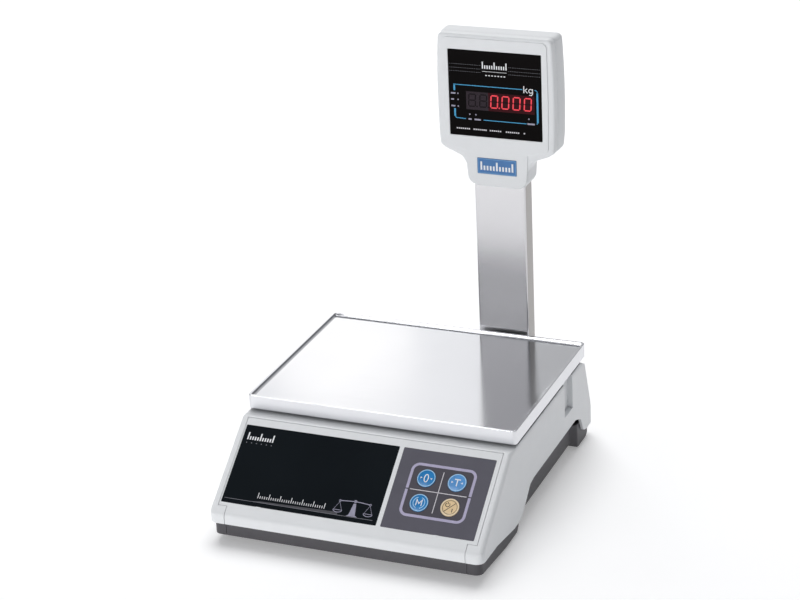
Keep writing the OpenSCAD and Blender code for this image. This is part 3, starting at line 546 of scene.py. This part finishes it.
def make_platter():
    """Pressed stainless tray: a raised rim round a flat surface, a folded skirt with a hemmed edge."""
    low, high = corners("platter")
    rim_width, rim_height = 3.0, 3.0
    surface = high.z - rim_height
    gauge = 1.2
    corner = 4.5
    fold, inner_fold = 0.7, 0.5
    hem, hem_height = 0.9, 5
    middle = 12.0
    rings = []

    def ring(inset, z):
        radius = max(1.0, corner - inset)
        outline = round_rect(low.x + inset, low.y + inset, high.x - inset, high.y - inset, radius)
        rings.append([Vector((x, y, z)) for x, y in outline])

    for inset, rise in ((middle, 0.0), (4.6, 0.0), (3.9, 0.12), (3.4, 0.5), (3.1, 1.1)):
        ring(inset, surface + rise)
    for sin, cos in turn_steps(0, 90, 30):
        ring(rim_width - inner_fold * (1 - cos), high.z - inner_fold * (1 - sin))
    for sin, cos in turn_steps(0, 90, 15):
        ring(fold * (1 - sin), high.z - fold * (1 - cos))
    ring(0, low.z + 1.2)
    for sin, cos in turn_steps(0, 180, 30):
        ring(hem * (1 - cos), low.z + hem * (1 - sin))
    ring(2 * hem, low.z + hem_height - 1)
    ring(gauge, low.z + hem_height)
    ring(gauge, surface - gauge - 1.5)
    ring(gauge + 1.5, surface - gauge)
    ring(middle, surface - gauge)
    bm = bmesh.new()
    loft(bm, rings)
    for face in bm.faces:
        centre = face.calc_center_median()
        past_side = abs(centre.x) - high.x
        past_end = abs(centre.y - (low.y + high.y) / 2) - (high.y - low.y) / 2
        on_skirt = max(past_side, past_end) > -rim_width / 2 and centre.z < high.z - fold
        face.material_index = int(on_skirt)
    piece = add_piece("platter_tray", bm, PLATTER_STEEL, "platter")
    piece.data.materials.append(SKIRT_STEEL)
    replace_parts(piece, "platter")


# ---------------------------------------------------------------- panel graphics

def print_on(name, place, material, body, draw, n0=-0.02, n1=0.05):
    """One printed layer: draw(bm, place, n0, n1) adds its shapes."""
    bm = bmesh.new()
    draw(bm, place, n0, n1)
    return add_piece(name, bm, material, body, weighted=False)


def scale_ticks(u0, u1, w0, short, tall, count, width, up=1, every=5):
    """Upright ticks of a ruled scale between u0 and u1, as (path, width)."""
    lines = []
    for i in range(count):
        u = u0 + (u1 - u0) * i / (count - 1)
        length = tall if i % every == 0 else short
        lines.append(([(u, w0), (u, w0 + up * length)], width))
    return lines


def draw_lines(lines):
    def draw(bm, place, n0, n1):
        for path, width in lines:
            stroke(bm, place, path, width, n0, n1)
    return draw


def make_plate_graphics():
    left = plate_low.x
    mark = scale_ticks(left + 6, left + 35, 27.5, 4.0, 8.5, 11, 1.5, up=-1)
    print_on("plate_mark", on_panel, WHITE_INK, "root", draw_lines(mark))
    dots = [([(left + 6 + 5.8 * i, 30.6), (left + 6 + 5.8 * i, 31.6)], 1.0) for i in range(6)]
    print_on("plate_mark_dots", on_panel, GREY_INK, "root", draw_lines(dots))

    base_v = FIELD_BOTTOM - 5
    rule = [([(left + 2.5, base_v), (plate_high.x - 5, base_v)], 0.45)]
    print_on("plate_rule", on_panel, GREY_INK, "root", draw_lines(rule))
    ticks = scale_ticks(-104, -28, base_v - 4.6, 3.0, 6.4, 31, 0.7, up=-1)
    print_on("plate_scale", on_panel, WHITE_INK, "root", draw_lines(ticks))

    def band(bm, place, n0, n1):
        prism(bm, place, [(-112, base_v), (-100, base_v - 1.6), (-12, base_v - 3.4), (-12, base_v)], n0, n1)

    print_on("plate_scale_band", on_panel, BAND_INK, "root", band, n1=0.03)
    make_balance(4, base_v)


def make_balance(middle, foot):
    """Beam balance: a tapering pillar on a foot, a beam, and two pans on cords."""
    arm = 17
    beam = foot - 16.5
    pan = foot - 6
    bowl_half, bowl_depth = 5, 0.55

    def pillar(bm, place, n0, n1):
        prism(bm, place, [
            (middle - 6.5, foot - 0.6), (middle - 3.6, foot - 2.2), (middle - 1.4, beam + 1),
            (middle + 1.4, beam + 1), (middle + 3.6, foot - 2.2), (middle + 6.5, foot - 0.6)
        ], n0, n1)
        prism(bm, place, circle(middle, beam - 1.4, 1.7, 24), n0, n1)

    def frame_lines(bm, place, n0, n1):
        along_beam = [i / 8 for i in range(-8, 9)]
        top = [(middle + arm * t, beam - 1.2 * math.cos(t * math.pi / 2)) for t in along_beam]
        stroke(bm, place, top, 0.9, n0, n1)
        for side in (-1, 1):
            end = middle + side * arm
            stroke(bm, place, circle(end, beam, 1.1, 20), 0.5, n0, n1, closed=True)
            for foot_side in (-1, 1):
                stroke(bm, place, [(end, beam + 1.2), (end + foot_side * 4.6, pan)], 0.35, n0, n1)
            bowl = [(u, pan + (v - pan) * bowl_depth) for u, v in arc(end, pan, bowl_half, 180, 0, 12)]
            stroke(bm, place, bowl, 0.7, n0, n1)
            stroke(bm, place, [(end - bowl_half, pan), (end + bowl_half, pan)], 0.6, n0, n1)

    print_on("plate_balance_pillar", on_panel, LILAC_INK, "root", pillar)
    print_on("plate_balance_beam", on_panel, LILAC_INK, "root", frame_lines)


def make_keypad_graphics():
    places = {key: panel_place(sum(corners("key_" + key), Vector()) / 2) for key in GLYPHS}
    middle_u = sum(p[0] for p in places.values()) / 4
    middle_v = sum(p[1] for p in places.values()) / 4
    half_u, half_v = 34.6, 29.2
    line, radius, gap = 3.0, 7.5, 0.7

    u0, u1 = middle_u - half_u, middle_u + half_u
    v0, v1 = middle_v - half_v, middle_v + half_v

    def field(bm, place, n0, n1):
        holes = [circle(u, v, KEY_RADIUS + 0.35, 40) for u, v in places.values()]
        outlines = [round_rect(u0, v0, u1, v1, radius)] + holes
        join(bm, from_curve(outlines, lambda u, v, n: place(u, v, n + (n0 + n1) / 2), n1 - n0, 0.0))

    print_on("keypad_field", on_panel, KEYPAD_FIELD, "root", field, n1=0.03)

    def ring(bm, place, n0, n1):
        upper = [(u0, middle_v - gap)] + arc(u0 + radius, v0 + radius, radius, 180, 270, 10)
        upper += arc(u1 - radius, v0 + radius, radius, 270, 360, 10) + [(u1, middle_v - gap)]
        stroke(bm, place, upper, line, n0, n1)
        stroke(bm, place, [(u, 2 * middle_v - v) for u, v in upper], line, n0, n1)

    print_on("keypad_ring", on_panel, RING_INK, "root", ring, n1=0.07)
    cross = [
        ([(middle_u, middle_v - 23.5), (middle_u, middle_v + 23.5)], 0.8),
        ([(u0 + 3.5, middle_v), (u1 - 3.5, middle_v)], 0.8),
    ]
    print_on("keypad_cross", on_panel, LINE_INK, "root", draw_lines(cross), n1=0.06)
    for key, (u, v) in places.items():
        make_key(key, u, v)


# ---------------------------------------------------------------- keys

# Heights are above the panel
KEY_RADIUS = 10
KEY_TOP = 0.55
KEY_DISH = 0.4
KEY_STEM_RADIUS, KEY_STEM_END = 2.5, -8.35
KEY_FLANGE_RADIUS, KEY_FLANGE_LOW, KEY_FLANGE_HIGH = 11.6, -4.45, -3.25


def make_key(key, u, v):
    """A moulded cap with a raised rim and a shallow dish, its glyph printed in the dish."""
    body = "key_" + key
    cream = key == "power"
    cap = CREAM_KEY if cream else PALE_BLUE_KEY if key == "tare" else BLUE_KEY
    rim = KEY_HIGHLIGHT_CREAM if cream else KEY_HIGHLIGHT_AND_PRINT_BLUE

    def place(du, dv, n):
        return on_panel(u + du, v + dv, n)

    bm = bmesh.new()
    turned(bm, place, [
        (0, KEY_STEM_END), (KEY_STEM_RADIUS, KEY_STEM_END), (KEY_STEM_RADIUS, KEY_FLANGE_LOW),
        (KEY_FLANGE_RADIUS, KEY_FLANGE_LOW), (KEY_FLANGE_RADIUS, KEY_FLANGE_HIGH),
        (KEY_RADIUS, KEY_FLANGE_HIGH), (KEY_RADIUS, 0.1), (9.95, 0.34), (9.88, 0.48), (9.76, KEY_TOP),
        (8.85, KEY_TOP), (8.65, 0.5), (8.45, KEY_DISH), (4, KEY_DISH - 0.03), (0, KEY_DISH - 0.03)
    ])
    piece = add_piece(body + "_cap", bm, cap, body, weighted=False)
    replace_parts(piece, body)

    # A painted highlight ring along the cap's rim; on the mode key also the printed arcs round its glyph
    def highlight_ring_and_mode_arcs(bm, place, n0, n1):
        stroke(bm, place, circle(0, 0, 9.3, 64), 0.9, n0, n1, closed=True)
        if key == "mode":
            for start, end in ((100, 260), (-80, 80)):
                stroke(bm, place, arc(0, 0, 6.3, start + 8, end - 8, 20), 0.8, n0, n1)

    print_on(body + "_rim", place, rim, body, highlight_ring_and_mode_arcs, KEY_DISH - 0.1, KEY_TOP + 0.04)
    glyph_ink = DARK_INK if cream else WHITE_INK
    print_on(body + "_glyph", place, glyph_ink, body, GLYPHS[key], KEY_DISH - 0.1, KEY_DISH + 0.04)


def zero_glyph(bm, place, n0, n1):
    oval = [(2.1 * u, 4.3 * v) for u, v in circle(0, 0, 1, 32)]
    stroke(bm, place, oval, 1.05, n0, n1, closed=True)
    side_arrows(bm, place, n0, n1, 5.4, 1.2)


def side_arrows(bm, place, n0, n1, reach, size):
    for side in (-1, 1):
        prism(bm, place, [
            (side * (reach + size * 0.8), -size), (side * (reach - size * 0.9), 0),
            (side * (reach + size * 0.8), size)
        ][::side], n0, n1)


def tare_glyph(bm, place, n0, n1):
    stroke(bm, place, [(-3.2, -3.5), (3.2, -3.5)], 1.15, n0, n1)
    stroke(bm, place, [(0, -2.95), (0, 4.1)], 1.2, n0, n1)
    side_arrows(bm, place, n0, n1, 5.2, 1.2)


def mode_glyph(bm, place, n0, n1):
    stroke(bm, place, [(-2.9, 3.4), (-2.9, -3.4), (0, 1.0), (2.9, -3.4), (2.9, 3.4)], 0.95, n0, n1)


def power_glyph(bm, place, n0, n1):
    """A slash between a broken ring with an upright bar, and a plain bar."""
    stroke(bm, place, circle(0, 0, 7.7, 56), 0.45, n0, n1, closed=True)
    stroke(bm, place, [(-5.1, 5.1), (5.1, -5.1)], 0.7, n0, n1)
    stroke(bm, place, arc(-2.9, -2.6, 2.3, -50, 230, 20), 0.75, n0, n1)
    stroke(bm, place, [(-2.9, -5.6), (-2.9, -3.2)], 0.7, n0, n1)
    stroke(bm, place, [(3.1, 1.2), (3.1, 5.2)], 0.85, n0, n1)


GLYPHS = {"zero": zero_glyph, "tare": tare_glyph, "mode": mode_glyph, "power": power_glyph}


# ---------------------------------------------------------------- display head

# The head is widest from its shoulders up; halves are measured from its middle
SHOULDER = head_low.z + 45
SHOULDER_HALF, TOP_HALF, WIDEST_HALF = 66.3, 65.2, 67.0


def head_outline():
    """Front view of the head about its middle, anticlockwise; w is measured up from the counter."""
    bottom, top = head_low.z, head_high.z
    right = [
        (26, bottom, 0), (32, bottom + 3.5, 3), (35, bottom + 8.5, 4), (36, bottom + 23.5, 8),
        (41, bottom + 33, 12), (58, bottom + 39.5, 20), (SHOULDER_HALF, SHOULDER, 5)
    ]
    bow = 1.9
    for t in [i / 8 for i in range(1, 8)]:
        half = SHOULDER_HALF + (TOP_HALF - SHOULDER_HALF) * t + bow * 4 * t * (1 - t)
        right.append((half, SHOULDER + (top - SHOULDER) * t, 0))
    right.append((TOP_HALF, top, 6))
    left = [(-u, w, r) for u, w, r in reversed(right)]
    return rounded(right + left)


def head_ring(outline, y, inset, stretch=0.0):
    """The outline at one depth; stretch widens its upper part on each side, above the neck."""
    fade = 30
    points = []
    for u, w in offset_ring(outline, inset):
        share = max(0.0, min(1.0, (w - SHOULDER + fade / 2) / fade))
        points.append(Vector((HEAD_MID + u * (1 + stretch * share / WIDEST_HALF), y, w)))
    return points


# The two shells meet at the parting, where both have a small chamfer
PARTING = rear_low.y
CHAMFER = 0.5
SHELL_WALL = 2.5


def make_head_front(outline):
    """The front shell: a rounded rim, and a raised plate round the window and the badge."""
    front = head_low.y
    bezel = front + 1.3
    edge = 3.0
    centre_w = (window_low.z + window_high.z) / 2
    rings = [head_ring(outline, PARTING, CHAMFER), head_ring(outline, PARTING - CHAMFER, 0.0)]
    rings.append(head_ring(outline, bezel + edge, 0.0))
    for sin, cos in turn_steps(15, 90, 15):
        rings.append(head_ring(outline, bezel + edge * (1 - sin), edge * (1 - cos)))
    shrunk = [(u * 0.8, centre_w + (w - centre_w) * 0.8) for u, w in outline]
    rings.append([Vector((HEAD_MID + u, bezel, w)) for u, w in shrunk])
    rings.append([Vector((HEAD_MID + u, bezel + 2, w)) for u, w in shrunk])
    rings.append(head_ring(outline, bezel + 3, 3.2))
    rings.append(head_ring(outline, PARTING, SHELL_WALL))
    bm = bmesh.new()
    rows = loft(bm, rings, cap_first=False, cap_last=False)
    for i in range(len(rows[0])):
        bm.faces.new((rows[-1][i - 1], rows[-1][i], rows[0][i], rows[0][i - 1]))

    neck, side = 35.0, 59.5
    bottom, top = head_low.z, head_high.z
    right = [
        (25.5, bottom + 1.6, 0), (31, bottom + 4.8, 3), (33.8, bottom + 9.5, 4), (neck, bottom + 22, 6),
        (neck + 0.7, bottom + 41.5, 2.5), (side, bottom + 46.5, 4), (side + 1, bottom + 100, 0),
        (side, top - 4.2, 6)
    ]
    plate = rounded(right + [(-u, w, r) for u, w, r in reversed(right)])
    gap = 0.15
    holes = [
        round_rect(low.x - HEAD_MID - gap, low.z - gap, high.x - HEAD_MID + gap, high.z + gap, radius)
        for low, high, radius in ((window_low, window_high, 0.8), (badge_low, badge_high, 0.6))
    ]
    thickness = 2.2

    def on_bezel(u, w, n):
        return Vector((HEAD_MID + u, front + thickness / 2 - n, w))

    join(bm, from_curve([plate] + holes, on_bezel, thickness, 0.45))
    piece = add_piece("head_front", bm, COVER, "root")
    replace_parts(piece, "head_front_shell")


def make_head_back(outline):
    """The rear shell: it widens a little behind the parting, and its back edge is rounded."""
    back = rear_high.y
    round_back = 5.0
    swell = 1.9
    rings = [head_ring(outline, PARTING, SHELL_WALL), head_ring(outline, PARTING, CHAMFER)]
    rings.append(head_ring(outline, PARTING + CHAMFER, 0.0, 0.2))
    rings.append(head_ring(outline, PARTING + 7, 0.0, 1.6))
    rings.append(head_ring(outline, back - round_back, 0.0, swell))
    for sin, cos in turn_steps(15, 90, 15):
        y = back - round_back * (1 - sin)
        rings.append(head_ring(outline, y, round_back * 0.9 * (1 - cos), swell))
    bm = bmesh.new()
    loft(bm, rings)
    piece = add_piece("head_back", bm, COVER, "root")
    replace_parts(piece, "head_rear_shell")
    make_screw_recesses(piece, back)


def make_screw_recesses(shell, back):
    """Cuts the four screw recesses into the head's back."""
    low, high = corners("head_screws")
    screw_radius, radius = 3.0, 3.3
    depth, clear = 1.35, 2
    bm = bmesh.new()
    for u in (low.x + screw_radius, high.x - screw_radius):
        for w in (low.z + screw_radius, high.z - screw_radius):
            rim = circle(u, w, radius, 32)
            loft(bm, [[Vector((x, y, z)) for x, z in rim] for y in (back - depth, back + clear)])
    bmesh.ops.recalc_face_normals(bm, faces=bm.faces)
    cutter = mesh_object("cutter", bm)
    cut = shell.modifiers.new("recesses", "BOOLEAN")
    cut.operation = "DIFFERENCE"
    cut.solver = "EXACT"
    cut.object = cutter
    shell.modifiers.move(len(shell.modifiers) - 1, 0)
    bpy.context.view_layer.objects.active = shell
    with bpy.context.temp_override(object=shell, active_object=shell, selected_objects=[shell]):
        bpy.ops.object.modifier_apply(modifier="recesses")
    bpy.data.objects.remove(cutter)


# ---------------------------------------------------------------- head graphics

DIGIT_W, DIGIT_H, DIGIT_T = 9.0, 15.2, 1.35
DIGIT_PITCH = 12.8
DIGIT_LEFT = -31.6
DIGIT_BOTTOM = head_low.z + 91.5
SLANT = 0.06
LIT_DIGITS = (2, 3, 4, 5)
ZERO_SEGMENTS = "abcdef"


def segment(name, left):
    """One of a digit's seven bars, as a six-sided outline."""
    t = DIGIT_T / 2
    gap = 0.25
    x0, x1 = left + t, left + DIGIT_W - t
    z0, z1, z2 = DIGIT_BOTTOM + t, DIGIT_BOTTOM + DIGIT_H / 2, DIGIT_BOTTOM + DIGIT_H - t
    ends = {
        "a": (x0, z2, x1, z2), "g": (x0, z1, x1, z1), "d": (x0, z0, x1, z0),
        "f": (x0, z1, x0, z2), "b": (x1, z1, x1, z2), "e": (x0, z0, x0, z1), "c": (x1, z0, x1, z1),
    }[name]
    a, b = Vector(ends[:2]), Vector(ends[2:])
    along = (b - a).normalized()
    across = Vector((-along.y, along.x))
    a, b = a + along * gap, b - along * gap
    points = [
        a, a + (along - across) * t, b + (-along - across) * t, b, b + (across - along) * t,
        a + (along + across) * t
    ]
    return [(p.x + SLANT * (p.y - DIGIT_BOTTOM), p.y) for p in points]


def draw_segments(lit):
    def draw(bm, place, n0, n1):
        for i in range(6):
            for name in "abcdefg":
                on = i in LIT_DIGITS and name in ZERO_SEGMENTS
                if on == lit:
                    prism(bm, place, segment(name, DIGIT_LEFT + i * DIGIT_PITCH), n0, n1)
            point = i == LIT_DIGITS[0]
            if point == lit:
                u = DIGIT_LEFT + i * DIGIT_PITCH + DIGIT_W + 1.6
                prism(bm, place, circle(u, DIGIT_BOTTOM + 0.9, 0.85, 16), n0, n1)
    return draw


def make_window_graphics():
    split = DIGIT_LEFT + LIT_DIGITS[0] * DIGIT_PITCH - 1.9
    # Behind the lit digits the field carries a painted red glow; the rest is plain dark field
    for name, u0, u1, material in (
        ("digit_field_dark", -33.5, split, DIGIT_FIELD), ("digit_field_painted_red_glow", split, 45, DIGIT_FIELD_PAINTED_GLOW)
    ):
        def field(bm, place, n0, n1):
            w0, w1 = DIGIT_BOTTOM - 3.2, DIGIT_BOTTOM + DIGIT_H + 2.2
            prism(bm, place, [(u0, w0), (u1, w0), (u1, w1), (u0, w1)], n0, n1)

        print_on(name, on_window, material, "root", field, n1=0.03)
    print_on("digit_segments_dark", on_window, DARK_SEGMENT, "root", draw_segments(False), n1=0.06)
    print_on("digit_segments_lit", on_window, LIT_SEGMENT, "root", draw_segments(True), n1=0.08)

    top, low_line = head_low.z + 116.2, head_low.z + 77.3
    thick, thin = 2.0, 0.85
    corner = 2.0
    cyan = [
        ([(-46.9, top - 7.2), (-46.9, top - 1.2)], thick),
        ([(-47.9, top - 0.4), (31.5, top - 0.4)], thin),
        ([(45.5, top - 0.2), (47.2, top - 0.6), (48.4, top - corner), (48.4, top - 4)], thin),
        ([(48.4, top - 3), (48.4, low_line + 2)], thick),
        ([(-46.9, low_line + 11), (-46.9, low_line + 2)], thick),
        ([(-46.9, low_line + 2.4), (-45.6, low_line + 0.5), (-34.5, low_line)], thin),
        ([(-14, low_line), (35.5, low_line)], thin),
        ([(47.2, low_line + 0.2), (48.4, low_line + 2.4)], thin),
    ]
    print_on("window_frame_lines", on_window, CYAN_INK, "root", draw_lines(cyan))

    k = [
        ([(33.2, top + 3.6), (33.2, top - 4.2)], 1.0), ([(37.0, top + 1.0), (33.9, top - 1.6)], 0.9),
        ([(34.6, top - 1.0), (37.3, top - 4.2)], 0.9),
    ]
    g = [
        (arc(40.9, top - 1.6, 2.1, 20, 340, 18), 0.9),
        ([(43.1, top + 1.0), (43.1, top - 4.6), (41.8, top - 6.3), (39.2, top - 6.1)], 0.9),
    ]
    print_on("window_unit", on_window, WHITE_INK, "root", draw_lines(k + g))

    mark = scale_ticks(-13.5, 13.5, top + 19.6, 4.0, 7.8, 11, 1.3)
    mark.append(([(-14, top + 16.6), (14, top + 16.6)], 0.4))
    for i in range(7):
        mark.append(([(-10.5 + 3.5 * i, top + 12.2), (-8.7 + 3.5 * i, top + 12.2)], 1.1))
    print_on("window_mark", on_window, WHITE_INK, "root", draw_lines(mark))

    def dots(bm, place, n0, n1):
        for row in (top + 23.0, top + 18.8, top + 15.0):
            for side in (-1, 1):
                for i in range(18):
                    prism(bm, place, circle(side * (16.5 + 2.05 * i), row, 0.33, 8), n0, n1)

    print_on("window_dot_rows", on_window, GREY_INK, "root", dots)

    labels = []
    for row, length in ((top - 10.6, 5.2), (top - 17.6, 3.4), (top - 25.2, 4.6)):
        labels.append(([(-51, row), (-51 + length, row)], 1.7))
        labels.append(([(-43.6, row), (-42.2, row)], 1.5))
    for u, length in ((-31.5, 3.6), (-24.5, 7.4), (36.5, 8.4)):
        labels.append(([(u, low_line), (u + length, low_line)], 1.8))
        labels.append(([(u + 1, low_line + 5.5), (u + 2.4, low_line + 5.5)], 1.5))
    print_on("window_labels", on_window, LILAC_INK, "root", draw_lines(labels))

    words = ((-45.5, 17), (-26, 16.5), (-7, 16), (11.5, 16.5), (32, 4))
    dash, dash_pitch = 1.5, 2.3
    row = low_line - 11.4
    dashes = []
    for start, length in words:
        for i in range(int(length / dash_pitch)):
            u = start + dash_pitch * i
            dashes.append(([(u, row), (u + dash, row)], dash))
    print_on("window_data_row", on_window, LINE_INK, "root", draw_lines(dashes))


def make_badge():
    """Blue plate with a lighter edge and a plain ruled-scale mark."""
    skin("head_badge", ease=0.15)
    u0, u1 = badge_low.x - HEAD_MID, badge_high.x - HEAD_MID
    w0, w1 = badge_low.z, badge_high.z

    inset = 0.9

    def edge(bm, place, n0, n1):
        line = round_rect(u0 + inset, w0 + inset, u1 - inset, w1 - inset, 0.6)
        stroke(bm, place, line, 0.8, n0, n1, closed=True)

    print_on("badge_edge", on_badge, BADGE_RIM, "root", edge)
    mark = scale_ticks(u0 + 4.5, u1 - 4.5, w0 + 4.2, 5.2, 9.8, 11, 2.0)
    print_on("badge_mark", on_badge, WHITE_INK, "root", draw_lines(mark))


# ---------------------------------------------------------------- feet

def make_feet():
    """Rubber pads with a rounded foot and a groove round them."""
    for side in ("front_left", "front_right", "rear_left", "rear_right"):
        low, high = corners("foot_pad_" + side)
        u, v = (low.x + high.x) / 2, (low.y + high.y) / 2
        r, h = (high.x - low.x) / 2, high.z - low.z

        def place(du, dv, n):
            return Vector((u + du, v + dv, n))

        bm = bmesh.new()
        turned(bm, place, [
            (0, 0), (r - 1.2, 0), (r - 0.35, 0.35), (r, 1.2), (r, h - 2.2), (r - 0.5, h - 2.0),
            (r - 0.5, h - 1.5), (r, h - 1.3), (r, h - 0.5), (r - 0.5, h), (5.05, h), (5.05, h - 2.5),
            (0, h - 2.5)
        ], 48)
        piece = add_piece("foot_rubber_" + side, bm, RUBBER, "foot_" + side, weighted=False)
        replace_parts(piece, "foot_pad_" + side)


# ---------------------------------------------------------------- room, light and camera

def make_floor():
    half, thickness = 12000, 20
    outline = [(-half, -half), (half, -half), (half, half), (-half, half)]
    bm = bmesh.new()
    prism(bm, lambda x, y, z: Vector((x, y, z)), outline, -thickness, 0)
    floor = mesh_object("floor", bm)
    floor.data.materials.append(finish_material(
        "floor", (0.90, 0.90, 0.905), 0.7, mottle=1.5, spread=0.006, grain=120, bump=0.02,
        Emission_Color=(1, 1, 1, 1), Emission_Strength=0.26
    ))


def soft_light(name, place, target, width, height, power, colour=(1, 1, 1), shape="RECTANGLE"):
    light = bpy.data.lights.new(name, "AREA")
    light.shape = shape
    light.size = width
    light.size_y = height
    light.energy = power
    light.color = colour
    lamp = bpy.data.objects.new(name, light)
    lamp.location = place
    lamp.rotation_euler = (Vector(target) - Vector(place)).to_track_quat("-Z", "Y").to_euler()
    lamp.visible_camera = False
    bpy.context.scene.collection.objects.link(lamp)


def make_light():
    world = bpy.data.worlds.new("studio")
    world.use_nodes = True
    background = world.node_tree.nodes["Background"]
    background.inputs["Color"].default_value = (0.93, 0.95, 1.0, 1)
    background.inputs["Strength"].default_value = 0.2
    bpy.context.scene.world = world
    soft_light("top", (-0.6, 1.7, 4.2), (0, 0, 0), 3.6, 3.6, 150)
    soft_light("front", (-1.2, -3.2, 0.45), (0, 0, 0.15), 2.8, 0.8, 44)
    soft_light("front high", (-0.3, -4.2, 2.4), (0, 0, 0.2), 4.0, 2.4, 9)
    soft_light("softbox left", (-2.05, 3.2, 1.8), (-1.2, 0, 0.6), 1.9, 2.0, 10.2)
    soft_light("softbox right", (0.22, 3.25, 1.8), (0, 0, 0.6), 2.6, 2.0, 5.5)
    soft_light("glow", (-1.5, 3.1, 1.62), (-0.1, 0, 0.1), 0.4, 0.4, 0.12, (1, 0.95, 0.85), "ELLIPSE")


def make_camera():
    """The camera stands in front of and to the right of the object, above it, with a long lens."""
    data = bpy.data.cameras.new("camera")
    data.sensor_width = 36
    data.lens = 102.58
    data.clip_start = 0.1
    camera = bpy.data.objects.new("camera", data)
    right = Vector((0.9259, 0.3753, -0.0435)).normalized()
    forward = Vector((-0.3612, 0.8457, -0.3928))
    up = right.cross(forward).normalized()
    forward = up.cross(right)
    turn = Matrix((right, up, -forward)).transposed().to_4x4()
    camera.matrix_world = Matrix.Translation((0.8746, -2.0539, 1.1727)) @ turn
    bpy.context.scene.collection.objects.link(camera)
    bpy.context.scene.camera = camera
    bpy.context.scene.view_settings.view_transform = "Standard"


make_camera()
make_body()
make_load_cell()
make_platter()
make_plate_graphics()
make_keypad_graphics()
make_head_front(head_outline())
make_head_back(head_outline())
make_window_graphics()
make_badge()
make_feet()
make_floor()
make_light()
